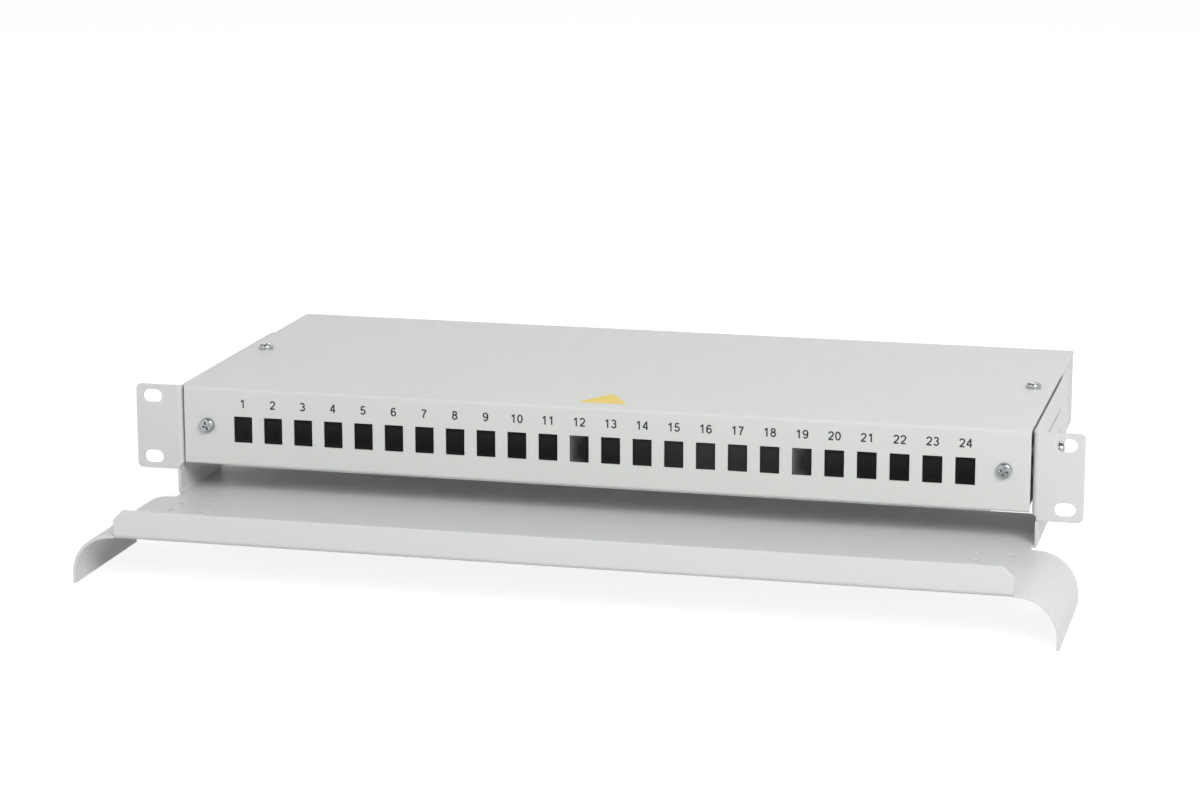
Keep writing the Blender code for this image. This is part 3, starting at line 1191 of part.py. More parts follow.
def build_all():
    """Builds every piece in its place."""
    clear_scene()
    rack_frame = add_carrier("rack_frame")
    drawer = add_carrier("drawer")
    finish(build_bracket(-1), "left_bracket", GREY_PAINT, rack_frame)
    finish(build_bracket(1), "right_bracket", GREY_PAINT, rack_frame)
    finish(build_tray(), "cable_tray", GREY_PAINT, rack_frame)
    finish(build_housing(), "housing_base", GREY_PAINT, drawer)
    finish(build_hood(), "hood", GREY_PAINT, drawer)
    for number, x in enumerate(port_places(), 1):
        finish(build_blank(x), f"port_blank_{number:02d}", BLACK_GLOSS, drawer)
    lower, upper, _ = cassette_levels()
    finish(build_cassette(lower), "splice_cassette_lower", CASSETTE_GREY, drawer)
    finish(build_cassette(upper), "splice_cassette_upper", CASSETTE_GREY, drawer)
    finish(build_splice_holder(lower), "splice_holder_lower", WHITE_NYLON, drawer)
    finish(build_splice_holder(upper), "splice_holder_upper", WHITE_NYLON, drawer)
    finish(build_cassette_lid(), "cassette_lid", CLEAR_SHEET, drawer)
    for side, word in ((-1, "left"), (1, "right")):
        for y, end in zip(TRAY_SCREW_PLACES, ("front", "rear")):
            finish(build_tray_screw(side, y), f"tray_screw_{word}_{end}", ZINC, rack_frame)
        finish(build_front_screw(side), f"hood_front_screw_{word}", ZINC, drawer)
        finish(build_top_screw(side), f"hood_top_screw_{word}", ZINC, drawer)
        finish(build_cassette_nut(side), f"cassette_nut_{word}", BLACK_MATT, drawer)
        finish(build_fibre_guide(side), f"fibre_guide_{word}", WHITE_NYLON, drawer)
        finish(build_tie_anchor(side), f"tie_anchor_{word}", ZINC, drawer)
        body, locknut, seal, cap = build_gland(side)
        finish(body, f"gland_body_{word}", GLAND_GREY, drawer)
        finish(locknut, f"gland_locknut_{word}", GLAND_GREY, drawer)
        finish(seal, f"gland_seal_{word}", BLACK_MATT, drawer)
        finish(cap, f"gland_cap_{word}", GLAND_GREY, drawer)
        finish(build_entry_plug(side), f"entry_plug_{word}", BLACK_MATT, drawer)
    stud, nut = build_earth()
    finish(stud, "earth_stud", ZINC, drawer)
    finish(nut, "earth_nut", ZINC, drawer)


build_all()
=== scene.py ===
# %% [markdown]
# # A fibre patch panel with a sliding drawer and a cord tray
#
# The object is a box for a 19 inch rack. Two folded brackets with slotted ears carry a drawer with
# twenty-four ports, and a low tray in front of it takes the patch cords. Its real pieces are already
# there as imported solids, so this lesson loads them, rounds their edges, and makes what solids do not
# show: powder coat, plated screws, glossy blanks, printed numbers and a warning triangle.

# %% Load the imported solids
import json
import math

import bmesh
import bpy
import numpy as np
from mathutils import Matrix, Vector


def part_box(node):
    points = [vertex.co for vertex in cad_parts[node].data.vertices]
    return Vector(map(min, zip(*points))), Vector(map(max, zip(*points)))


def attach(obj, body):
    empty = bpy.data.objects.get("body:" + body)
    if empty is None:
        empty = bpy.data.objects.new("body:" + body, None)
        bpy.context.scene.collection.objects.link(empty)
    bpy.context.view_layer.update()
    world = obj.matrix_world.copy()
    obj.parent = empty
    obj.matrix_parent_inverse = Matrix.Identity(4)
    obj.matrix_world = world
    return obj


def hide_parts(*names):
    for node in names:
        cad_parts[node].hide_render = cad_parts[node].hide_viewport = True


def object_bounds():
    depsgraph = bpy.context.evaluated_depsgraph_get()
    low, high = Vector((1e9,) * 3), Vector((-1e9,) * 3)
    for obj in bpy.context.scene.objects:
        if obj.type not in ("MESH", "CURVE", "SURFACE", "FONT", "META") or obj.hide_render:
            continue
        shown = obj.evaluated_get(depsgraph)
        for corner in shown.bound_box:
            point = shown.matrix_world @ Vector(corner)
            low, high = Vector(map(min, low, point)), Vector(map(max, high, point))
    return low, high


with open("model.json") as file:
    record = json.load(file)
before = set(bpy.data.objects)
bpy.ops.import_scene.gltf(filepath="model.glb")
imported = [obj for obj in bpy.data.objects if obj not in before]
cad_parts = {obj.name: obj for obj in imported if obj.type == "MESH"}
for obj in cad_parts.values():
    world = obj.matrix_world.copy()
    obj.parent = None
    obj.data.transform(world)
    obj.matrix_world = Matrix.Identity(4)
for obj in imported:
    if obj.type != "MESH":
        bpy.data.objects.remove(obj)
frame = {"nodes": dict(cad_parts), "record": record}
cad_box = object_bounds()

MM = 0.001
BODY_OF = {node: body for body, members in frame["record"]["behaviour"]["bodies"].items() for node in members}

# %% [markdown]
# ## The camera
#
# A rack product is usually photographed from a little above and to one side, so that its front, its
# top and one end show at once. A long lens keeps the front edges nearly parallel. The distance and
# the lens here give the same convergence as a studio picture from about one and a half metres.

# %% Place the camera
FOCAL_LENGTH, FILM_WIDTH = 100.1, 36.0           # in millimetres, as on a real lens
CAMERA_PLACE = (0.3871, -1.5611, 0.3837)
AIM_POINT = (0.0027, -0.0015, 0.0261)
lens = bpy.data.cameras.new("studio_camera")
lens.lens = FOCAL_LENGTH
lens.sensor_width = FILM_WIDTH
camera = bpy.data.objects.new("studio_camera", lens)
bpy.context.scene.collection.objects.link(camera)
camera.location = CAMERA_PLACE
aim = Vector(AIM_POINT) - camera.location
camera.rotation_euler = aim.to_track_quat("-Z", "Y").to_euler()
bpy.context.scene.camera = camera
print(f"camera {aim.length:.3f} m from the panel")

# %% [markdown]
# ## Floor and backdrop
#
# A pale floor lies just below the ends of the tray's wings, the lowest points of the object. The
# camera and mirror reflections see it nearly white, as a white sheet in a studio looks, and it still
# darkens where the object keeps light off it. All other light meets it as plain pale paper.


# %% Nodes are quicker to read when one helper makes them
def add_node(tree, kind, place=(0, 0), **values):
    """A shader node of that kind; each keyword is an input's name, or a property of the node."""
    node = tree.nodes.new(kind)
    node.location = place
    for key, value in values.items():
        label = key.replace("_", " ")
        if hasattr(node, key):
            setattr(node, key, value)
        else:
            node.inputs[label].default_value = value
    return node


def grey(level):
    """A neutral colour from a screen value of 0 to 255, in linear light."""
    share = level / 255
    linear = share / 12.92 if share <= 0.04045 else ((share + 0.055) / 1.055) ** 2.4
    return linear


def tint(red, green, blue):
    """A colour from screen values of 0 to 255, in linear light, with full opacity."""
    return (grey(red), grey(green), grey(blue), 1.0)


print(f"a screen value of 215 is {grey(215):.3f} in linear light")

# %% Show colours as they are written
bpy.context.scene.view_settings.view_transform = "Standard"
print("view transform", bpy.context.scene.view_settings.view_transform)

# %% Make the floor
FLOOR_LEVEL = cad_box[0][2] - 0.2 * MM
FLOOR_REACH = 6.0
PAPER_TONE = 222                                 # screen value of the paper to all other light
PAPER_SHADOWED, PAPER_GLOW = 0.26, 0.86          # the part that shadows darken, and the part they don't
across = np.linspace(-FLOOR_REACH, FLOOR_REACH, 3)
floor_x, floor_y = np.meshgrid(across, across, indexing="ij")
floor_points = np.stack([floor_x, floor_y, np.full_like(floor_x, FLOOR_LEVEL)], -1).reshape(-1, 3)
first = (np.arange(2)[:, None] * 3 + np.arange(2)).reshape(-1)
floor_faces = np.stack([first, first + 3, first + 4, first + 1], -1)
floor_mesh = bpy.data.meshes.new("studio_floor")
floor_mesh.from_pydata(floor_points.tolist(), [], floor_faces.tolist())
floor = bpy.data.objects.new("studio_floor", floor_mesh)
bpy.context.scene.collection.objects.link(floor)

paper = bpy.data.materials.new("studio_paper")
paper.use_nodes = True
tree = paper.node_tree
tree.nodes.clear()
rays = add_node(tree, "ShaderNodeLightPath", (-700, 200))
plain = add_node(tree, "ShaderNodeBsdfDiffuse", (-500, 0), Color=tint(PAPER_TONE, PAPER_TONE, PAPER_TONE))
shadowed = add_node(tree, "ShaderNodeBsdfDiffuse", (-500, -150), Color=(*[PAPER_SHADOWED] * 3, 1.0))
lifted = add_node(tree, "ShaderNodeEmission", (-500, -300), Color=(1, 1, 1, 1), Strength=PAPER_GLOW)
glow = add_node(tree, "ShaderNodeAddShader", (-300, -200))
seen = add_node(tree, "ShaderNodeMath", (-500, 250), operation="MAXIMUM")
choice = add_node(tree, "ShaderNodeMixShader", (-100, 0))
out = add_node(tree, "ShaderNodeOutputMaterial", (100, 0))
tree.links.new(rays.outputs["Is Camera Ray"], seen.inputs[0])
tree.links.new(rays.outputs["Is Glossy Ray"], seen.inputs[1])
tree.links.new(shadowed.outputs[0], glow.inputs[0])
tree.links.new(lifted.outputs[0], glow.inputs[1])
tree.links.new(seen.outputs[0], choice.inputs["Fac"])
tree.links.new(plain.outputs[0], choice.inputs[1])
tree.links.new(glow.outputs[0], choice.inputs[2])
tree.links.new(choice.outputs[0], out.inputs["Surface"])
floor_mesh.materials.append(paper)
print(f"floor at {FLOOR_LEVEL * 1000:.1f} mm")

# %% [markdown]
# The studio's ceiling is unlit. Polished metal needs that: a screw head looks like metal because its
# crown mirrors something light and its shoulders something dark. So mirrors see white up to some way
# above the horizon, and a dark ceiling over it, while the camera and clear plastic see plain white.

# %% Make the surroundings
SURROUND_LIGHT = 0.41
CEILING_STARTS, CEILING_FULL = 0.30, 0.62        # sine of the height above the horizon
CEILING_LEVEL = 0.16
world = bpy.data.worlds.new("studio_surroundings")
world.use_nodes = True
bpy.context.scene.world = world
tree = world.node_tree
tree.nodes.clear()
rays = add_node(tree, "ShaderNodeLightPath", (-900, 300))
seen = add_node(tree, "ShaderNodeMath", (-500, 250), operation="MAXIMUM")
looking = add_node(tree, "ShaderNodeTexCoord", (-1100, -100))
height = add_node(tree, "ShaderNodeSeparateXYZ", (-900, -100))
ceiling = add_node(tree, "ShaderNodeMapRange", (-700, -100), interpolation_type="SMOOTHSTEP")
ceiling_range = {
    "From Min": CEILING_STARTS, "From Max": CEILING_FULL, "To Min": 1.0, "To Max": CEILING_LEVEL,
}
for socket, value in ceiling_range.items():
    ceiling.inputs[socket].default_value = value
soft = add_node(tree, "ShaderNodeBackground", (-300, 0), Color=(1, 1, 1, 1), Strength=SURROUND_LIGHT)
mirrored = add_node(tree, "ShaderNodeBackground", (-300, -150), Color=(1, 1, 1, 1), Strength=1.0)
white = add_node(tree, "ShaderNodeBackground", (-300, -300), Color=(1, 1, 1, 1), Strength=1.0)
polished = add_node(tree, "ShaderNodeMixShader", (-100, 0))
choice = add_node(tree, "ShaderNodeMixShader", (100, 0))
out = add_node(tree, "ShaderNodeOutputWorld", (300, 0))
tree.links.new(looking.outputs["Generated"], height.inputs[0])
tree.links.new(height.outputs["Z"], ceiling.inputs["Value"])
tree.links.new(ceiling.outputs["Result"], mirrored.inputs["Strength"])
tree.links.new(rays.outputs["Is Glossy Ray"], polished.inputs["Fac"])
tree.links.new(soft.outputs[0], polished.inputs[1])
tree.links.new(mirrored.outputs[0], polished.inputs[2])
tree.links.new(rays.outputs["Is Camera Ray"], seen.inputs[0])
tree.links.new(rays.outputs["Is Transmission Ray"], seen.inputs[1])
tree.links.new(seen.outputs[0], choice.inputs["Fac"])
tree.links.new(polished.outputs[0], choice.inputs[1])
tree.links.new(white.outputs[0], choice.inputs[2])
tree.links.new(choice.outputs[0], out.inputs["Surface"])
print(f"surroundings light the object at {SURROUND_LIGHT}")

# %% [markdown]
# ## Studio lamps
#
# Two soft boxes hang in front, both well above the object, so that hardly any light gets under the
# panel and the tray's floor fades into shadow there. The one on the right is nearer and stronger,
# which makes the right end a little lighter than the left. A third one behind lifts the cover but
# not the tray, which stands in the panel's shadow there. The surroundings do the rest.


# %% Hang the soft boxes
def soft_box(name, place, aim_at, width, height, watts):
    """A rectangular lamp of that size and power, hung at a place and turned to a point."""
    light = bpy.data.lights.new(name, "AREA")
    light.shape = "RECTANGLE"
    light.size = width
    light.size_y = height
    light.energy = watts
    lamp = bpy.data.objects.new(name, light)
    bpy.context.scene.collection.objects.link(lamp)
    lamp.location = place
    lamp.rotation_euler = (Vector(aim_at) - lamp.location).to_track_quat("-Z", "Y").to_euler()
    lamp.visible_camera = False
    return lamp


LAMPS = (
    ("key_box", (1.15, -1.45, 1.25), (0.05, 0.0, 0.0), 1.2, 0.9, 33.5),
    ("fill_box", (-1.6, -1.7, 1.6), (0.0, 0.0, 0.0), 1.4, 1.0, 9.5),
    ("back_box", (0.5, 1.35, 1.45), (0.05, 0.1, 0.0), 1.5, 0.8, 9.5),
)
for lamp_values in LAMPS:
    soft_box(*lamp_values)
print(f"{len(LAMPS)} soft boxes, {sum(values[-1] for values in LAMPS):.0f} W together")

# %% [markdown]
# ## Finishes
#
# Every finish is made from nodes on Object coordinates, so it is the same from every side and needs
# no picture. All of them share a plan: a main colour that drifts slightly, a roughness that drifts
# with another pattern, and a bump at the size of the real grain.


# %% A finish with drift, roughness and grain
NOISE_LOW, NOISE_HIGH = 0.3, 0.7                 # a noise seldom leaves this range
FINER = 9                                        # the roughness drifts on a scale this much finer
FINE_GRAIN_SHARE = 0.3                           # of the coarse grain's height


def finish(name, colour, second, drift, roughness, grain, depth, metallic=0.0, specular=0.5):
    """A Principled finish. Its colour moves from colour to second with a noise of drift per metre; its
    roughness runs between the two values with a finer noise; its bump adds noises of the grain sizes,
    given per metre, with the depth in metres."""
    material = bpy.data.materials.new(name)
    material.use_nodes = True
    tree = material.node_tree
    shader = tree.nodes["Principled BSDF"]
    shader.inputs["Metallic"].default_value = metallic
    shader.inputs["Specular IOR Level"].default_value = specular
    place = add_node(tree, "ShaderNodeTexCoord", (-1300, 0))
    cloud = add_node(tree, "ShaderNodeTexNoise", (-1000, 300), Scale=drift, Detail=4.0, Roughness=0.6)
    mix = add_node(tree, "ShaderNodeMix", (-600, 300), data_type="RGBA")
    mix.inputs["A"].default_value = colour
    mix.inputs["B"].default_value = second
    fine = add_node(tree, "ShaderNodeTexNoise", (-1000, 0), Scale=drift * FINER, Detail=3.0, Roughness=0.55)
    spread = add_node(tree, "ShaderNodeMapRange", (-600, 0))
    spread.inputs["From Min"].default_value = NOISE_LOW
    spread.inputs["From Max"].default_value = NOISE_HIGH
    spread.inputs["To Min"].default_value = roughness[0]
    spread.inputs["To Max"].default_value = roughness[1]
    coarse_grain = add_node(
        tree, "ShaderNodeTexNoise", (-1000, -300), Scale=grain[0], Detail=1.5, Roughness=0.4
    )
    fine_grain = add_node(
        tree, "ShaderNodeTexNoise", (-1000, -550), Scale=grain[1], Detail=1.0, Roughness=0.5
    )
    both = add_node(tree, "ShaderNodeMath", (-700, -400), operation="MULTIPLY_ADD")
    both.inputs[1].default_value = FINE_GRAIN_SHARE
    bump = add_node(tree, "ShaderNodeBump", (-400, -300), Strength=1.0, Distance=depth)
    for texture in (cloud, fine, coarse_grain, fine_grain):
        tree.links.new(place.outputs["Object"], texture.inputs["Vector"])
    tree.links.new(cloud.outputs["Fac"], mix.inputs["Factor"])
    tree.links.new(mix.outputs["Result"], shader.inputs["Base Color"])
    tree.links.new(fine.outputs["Fac"], spread.inputs["Value"])
    tree.links.new(spread.outputs["Result"], shader.inputs["Roughness"])
    tree.links.new(fine_grain.outputs["Fac"], both.inputs[0])
    tree.links.new(coarse_grain.outputs["Fac"], both.inputs[2])
    tree.links.new(both.outputs["Value"], bump.inputs["Height"])
    tree.links.new(bump.outputs["Normal"], shader.inputs["Normal"])
    return material


print("the finish helper is ready")

# %% [markdown]
# Powder coat is baked plastic powder. It flows into a skin with a faint orange peel: waves one to
# two millimetres long and a few thousandths of a millimetre deep. The sheen is satin.

# %% Powder coats
POWDER = dict(drift=9.0, roughness=(0.36, 0.46), grain=(620.0, 2300.0), depth=0.022 * MM)
LOOKS = {
    "bracket_paint": finish("bracket_paint", tint(213, 215, 214), tint(209, 211, 210), **POWDER),
    "tray_paint": finish("tray_paint", tint(214, 216, 214), tint(210, 212, 210), **POWDER),
    # the housing's coat is a little darker than the others: painted shade for its side wall, which stands in
    # shade beside the right bracket
    "housing_paint": finish("housing_paint", tint(206, 208, 206), tint(202, 204, 202), **POWDER),
    "hood_paint": finish("hood_paint", tint(214, 216, 213), tint(210, 212, 209), **POWDER),
}
print(f"{len(LOOKS)} powder coats")

# %% [markdown]
# The screws and studs are zinc plated, a bright metal with a slightly blue cast. The blanks are
# moulded in a polished tool and almost black; a painted reflection, a light grey mixed into the black,
# lightens some of them, and each blank's mesh carries its share as an attribute. Glands and nuts are
# nylon with a dull, fine grain, and the seals are soft rubber.

# %% Metals, plastics and rubber
LOOKS["zinc"] = finish(
    "zinc", tint(184, 186, 188), tint(164, 166, 169), 60.0, (0.16, 0.28), (900.0, 4200.0), 0.008 * MM,
    metallic=1.0,
)
LOOKS["zinc_sheet"] = finish(
    "zinc_sheet", tint(180, 182, 184), tint(162, 165, 168), 40.0, (0.28, 0.42), (500.0, 3000.0), 0.008 * MM,
    metallic=1.0,
)
LOOKS["blank_gloss"] = finish(
    "blank_gloss", tint(12, 13, 12), tint(17, 18, 18), 50.0, (0.10, 0.18), (160.0, 2600.0), 0.004 * MM,
    specular=0.16,
)
blank_tree = LOOKS["blank_gloss"].node_tree
# painted reflection: a light grey mixed into the black by each blank's attribute, standing in for the lighter
# room some blanks mirror
painted_reflection = add_node(blank_tree, "ShaderNodeAttribute", (-600, 600), attribute_name="painted_reflection")
painted_reflection_mix = add_node(blank_tree, "ShaderNodeMix", (-300, 450), data_type="RGBA")
painted_reflection_mix.inputs["B"].default_value = tint(150, 152, 152)
plain_black = blank_tree.nodes["Principled BSDF"].inputs["Base Color"].links[0].from_socket
blank_tree.links.new(painted_reflection.outputs["Fac"], painted_reflection_mix.inputs["Factor"])
blank_tree.links.new(plain_black, painted_reflection_mix.inputs["A"])
blank_tree.links.new(painted_reflection_mix.outputs["Result"], blank_tree.nodes["Principled BSDF"].inputs["Base Color"])
LOOKS["black_nylon"] = finish(
    "black_nylon", tint(30, 31, 32), tint(37, 38, 39), 60.0, (0.42, 0.58), (1500.0, 5200.0), 0.02 * MM
)
LOOKS["white_nylon"] = finish(
    "white_nylon", tint(226, 224, 216), tint(219, 217, 208), 60.0, (0.38, 0.52), (1300.0, 5000.0), 0.016 * MM
)
LOOKS["cassette_plastic"] = finish(
    "cassette_plastic", tint(203, 206, 205), tint(196, 199, 198), 30.0, (0.34, 0.5), (1100.0, 4600.0),
    0.018 * MM,
)
LOOKS["gland_nylon"] = finish(
    "gland_nylon", tint(150, 154, 156), tint(140, 144, 147), 60.0, (0.4, 0.56), (1500.0, 5200.0), 0.02 * MM
)
LOOKS["seal_rubber"] = finish(
    "seal_rubber", tint(34, 34, 35), tint(44, 44, 45), 90.0, (0.62, 0.8), (1800.0, 6000.0), 0.03 * MM
)
print(f"{len(LOOKS)} finishes")

# %% A clear lid
LID_CLEAR = 0.92                                 # the share of light that passes through
ACRYLIC_IOR = 1.49
clear_lid = finish(
    "clear_lid", tint(240, 244, 244), tint(234, 240, 240), 20.0, (0.03, 0.1), (90.0, 1500.0), 0.004 * MM
)
lid_shader = clear_lid.node_tree.nodes["Principled BSDF"]
lid_shader.inputs["Transmission Weight"].default_value = LID_CLEAR
lid_shader.inputs["IOR"].default_value = ACRYLIC_IOR
LOOKS["clear_lid"] = clear_lid
print(f"the lid lets {LID_CLEAR:.0%} of the light through")

# %% [markdown]
# ## Folded and moulded pieces
#
# A sheet that was punched and folded has no razor edges, and the powder rounds them further. The
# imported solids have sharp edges, so each piece here is a merged copy of its solid whose edges are
# rounded with a Bevel. Its triangles are joined into whole flats first, and a Weighted Normal
# modifier lets those large faces set the normals, so that the flats stay flat right up to a bend.

# %% Which finish each solid takes
SLOTS = {
    "left_bracket": "bracket_paint", "right_bracket": "bracket_paint", "cable_tray": "tray_paint",
    "housing_base": "housing_paint", "hood": "hood_paint", "cassette_lid": "clear_lid",
    "earth_stud": "zinc", "earth_nut": "zinc",
}
SLOTS.update({f"splice_cassette_{level}": "cassette_plastic" for level in ("lower", "upper")})
SLOTS.update({f"splice_holder_{level}": "white_nylon" for level in ("lower", "upper")})
for side in ("left", "right"):
    SLOTS.update({
        f"cassette_nut_{side}": "black_nylon", f"fibre_guide_{side}": "white_nylon",
        f"tie_anchor_{side}": "zinc_sheet", f"gland_body_{side}": "gland_nylon",
        f"gland_locknut_{side}": "gland_nylon", f"gland_cap_{side}": "gland_nylon",
        f"gland_seal_{side}": "seal_rubber", f"entry_plug_{side}": "black_nylon",
    })
print(f"{len(SLOTS)} solids keep their shape")


# %% Merge a copy and round its edges
SAME_PLACE = 0.002 * MM                          # points nearer than about this are made one
FLAT_TURN = 0.3                                  # neighbours that turn less, in degrees, are one flat
FLATS_WEIGHT = 80                                # how strongly large faces set the normals, of 100


def merged_shape(node):
    """The node's points and triangles as arrays, with points at the same place made one."""
    data = frame["nodes"][node].data
    points = np.empty(len(data.vertices) * 3)
    data.vertices.foreach_get("co", points)
    data.calc_loop_triangles()
    index = np.empty(len(data.loop_triangles) * 3, int)
    data.loop_triangles.foreach_get("vertices", index)
    points = points.reshape(-1, 3)
    cells = np.round(points / SAME_PLACE).astype(int)
    _, first, same = np.unique(cells, axis=0, return_index=True, return_inverse=True)
    faces = same.reshape(-1)[index].reshape(-1, 3)
    whole = (faces[:, 0] != faces[:, 1]) & (faces[:, 1] != faces[:, 2]) & (faces[:, 0] != faces[:, 2])
    return points[first], faces[whole]


def show(name, points, faces, look, body, replaced=(), smooth=True):
    """A piece from arrays of points and faces, with its finish, riding on its body."""
    mesh = bpy.data.meshes.new(name)
    mesh.from_pydata(np.asarray(points).tolist(), [], [list(map(int, face)) for face in faces])
    mesh.update()
    if smooth:
        mesh.shade_smooth()
    mesh.materials.append(LOOKS[look])
    piece = bpy.data.objects.new(name, mesh)
    bpy.context.scene.collection.objects.link(piece)
    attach(piece, body)
    if replaced:
        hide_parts(*replaced)
    return piece


def flats_joined(points, faces):
    """The same surface with neighbouring faces joined wherever they turn less than FLAT_TURN."""
    work = bmesh.new()
    corners = [work.verts.new(point) for point in points]
    for face in faces:
        work.faces.new([corners[index] for index in face])
    bmesh.ops.dissolve_limit(
        work, angle_limit=math.radians(FLAT_TURN), verts=work.verts[:], edges=work.edges[:]
    )
    work.verts.index_update()
    joined_points = np.array([vertex.co[:] for vertex in work.verts])
    joined_faces = [[vertex.index for vertex in face.verts] for face in work.faces]
    work.free()
    return joined_points, joined_faces


def round_edges(piece, width, sharper_than=32.0, segments=2):
    """Rounds every edge that turns more than that angle, in degrees, and lets the large faces set the
    normals, so that the flats stay flat."""
    bevel = piece.modifiers.new("edge_rounding", "BEVEL")
    bevel.width = width
    bevel.segments = segments
    bevel.limit_method = "ANGLE"
    bevel.angle_limit = math.radians(sharper_than)
    bevel.use_clamp_overlap = False
    bevel.miter_outer = "MITER_ARC"
    steady = piece.modifiers.new("steady_normals", "WEIGHTED_NORMAL")
    steady.mode = "FACE_AREA"
    steady.weight = FLATS_WEIGHT


# %% Dress the solids that keep their shape
EDGE_WIDTHS = {"bracket_paint": 0.22, "tray_paint": 0.22, "housing_paint": 0.16, "hood_paint": 0.18}
MOULDED_EDGE_WIDTH = 0.12                        # all in millimetres, the last for every other finish
for node, look in SLOTS.items():
    points, faces = merged_shape(node)
    points, faces = flats_joined(points, faces)
    piece = show(node + "_finished", points, faces, look, BODY_OF[node], replaced=(node,))
    round_edges(piece, EDGE_WIDTHS.get(look, MOULDED_EDGE_WIDTH) * MM)
print(f"{len(SLOTS)} pieces have rounded edges")

# %% [markdown]
# ## The blanks
#
# Each empty port is closed by a moulded blank, a small hollow cap. Its face has a raised rim and a
# pane a little lower than the rim, which the lamps draw as thin lines just inside the edges. The cap
# is one surface: an outline, a rounded rectangle, carried along a profile that runs from the pane
# over the rim, down the side and up inside. Real blanks never sit quite square, so their panes lean
# by a few tenths of a degree, and each mirrors another part of the room. A bell curve over the row of
# ports says how much painted reflection, a light grey in the colour, each blank carries, and two of
# them carry a painted reflection along one side as well.


# %% An outline carried along a profile
def rounded_outline(width, height, radius, steps=6):
    """Points once round a rectangle of that width and height whose corners are arcs of that radius."""
    turn = (np.arange(4)[:, None] * 0.5 + np.linspace(0, 0.5, steps)) * np.pi
    sides = np.array([[1, 1], [-1, 1], [-1, -1], [1, -1]])
    middle = sides * (np.array([width, height]) / 2 - radius)
    return (middle[:, None] + radius * np.stack([np.cos(turn), np.sin(turn)], -1)).reshape(-1, 2)


def ring_faces(rings, around):
    """Quads between neighbouring rings, each of which has around points."""
    row = np.arange(rings - 1)[:, None] * around
    here = np.arange(around)
    beside = (here + 1) % around
    quads = np.stack([row + here, row + beside, row + around + beside, row + around + here], -1)
    return quads.reshape(-1, 4)


def carried(width, height, profile, lean=(0.0, 0.0)):
    """The points of a cap facing the front, one ring for each row of the profile. A row is the inset
    from the edge, the depth behind the face, the corner radius and the share of the lean; a point's
    depth is the row's, plus that share of the lean times the point's place across and up."""
    rings = np.stack([
        rounded_outline(width - 2 * inset, height - 2 * inset, radius) for inset, _, radius, _ in profile
    ])
    slope = (rings * np.asarray(lean)).sum(-1) * profile[:, 3, None]
    depth = profile[:, 1, None] + slope
    return np.stack([rings[..., 0], depth, rings[..., 1]], -1)


BLANK_PROFILE = np.array([
    # inset, depth, corner radius, share of the lean
    [4.30, 0.16, 0.05, 1.0],
    [1.30, 0.16, 0.35, 1.0],
    [0.98, 0.16, 0.40, 1.0],
    [0.86, 0.12, 0.45, 0.6],
    [0.78, 0.03, 0.45, 0.0],
    [0.66, 0.00, 0.45, 0.0],
    [0.36, 0.00, 0.50, 0.0],
    [0.20, 0.04, 0.50, 0.0],
    [0.06, 0.16, 0.50, 0.0],
    [0.00, 0.34, 0.50, 0.0],
    [0.00, 7.90, 0.50, 0.0],
    [0.10, 8.00, 0.45, 0.0],
    [0.90, 8.00, 0.20, 0.0],
    [1.00, 7.90, 0.15, 0.0],
    [1.00, 3.10, 0.15, 0.0],
    [4.30, 3.10, 0.05, 0.0],
])
BLANK_PROFILE[:, :3] *= MM
print(f"the blank's profile has {len(BLANK_PROFILE)} rings")

# %% Mould the twenty-four blanks
PORT_COUNT = 24
FLANGE_SIDE = 1.6 * MM
FLANGE_PROFILE = np.array([
    # inset, depth, corner radius, share of the lean
    [1.8, 1.6, 0.5, 0],
    [0.2, 1.6, 0.9, 0],
    [0.0, 1.8, 1.0, 0],
    [0.0, 2.6, 1.0, 0],
    [0.2, 2.8, 0.9, 0],
    [1.8, 2.8, 0.5, 0],
])
FLANGE_PROFILE[:, :3] *= MM
REFLECTION_MIDDLE, REFLECTION_SPREAD = 16.4, 2.6             # in ports
BELL_REFLECTION = 0.055                                # at the bell's middle
SIDE_REFLECTION_PORTS = (12, 19)                          # these two also carry a painted reflection along one side
SIDE_REFLECTION, SIDE_REFLECTION_PLACE, SIDE_REFLECTION_FADE = 0.5, -0.36, 0.09  # the last two in widths of the blank
MOST_REFLECTION = 0.4
LEAN_SEED = 24
LEAN_SPREAD = 0.0035                             # as a slope
BLANK_SHARP = 50                                 # folds that turn more, in degrees, stay sharp


def haze_on(number, across):
    """The share of painted reflection: a bell curve over the ports, plus a rise towards the left edge on
    the two that carry a painted reflection along one side; across runs from -0.5 to 0.5."""
    bell = BELL_REFLECTION * np.exp(-((number - REFLECTION_MIDDLE) / REFLECTION_SPREAD) ** 2)
    side_share = SIDE_REFLECTION * np.exp(-(across - SIDE_REFLECTION_PLACE) / SIDE_REFLECTION_FADE) if number in SIDE_REFLECTION_PORTS else 0.0
    return np.clip(bell + side_share + 0 * across, 0, MOST_REFLECTION)


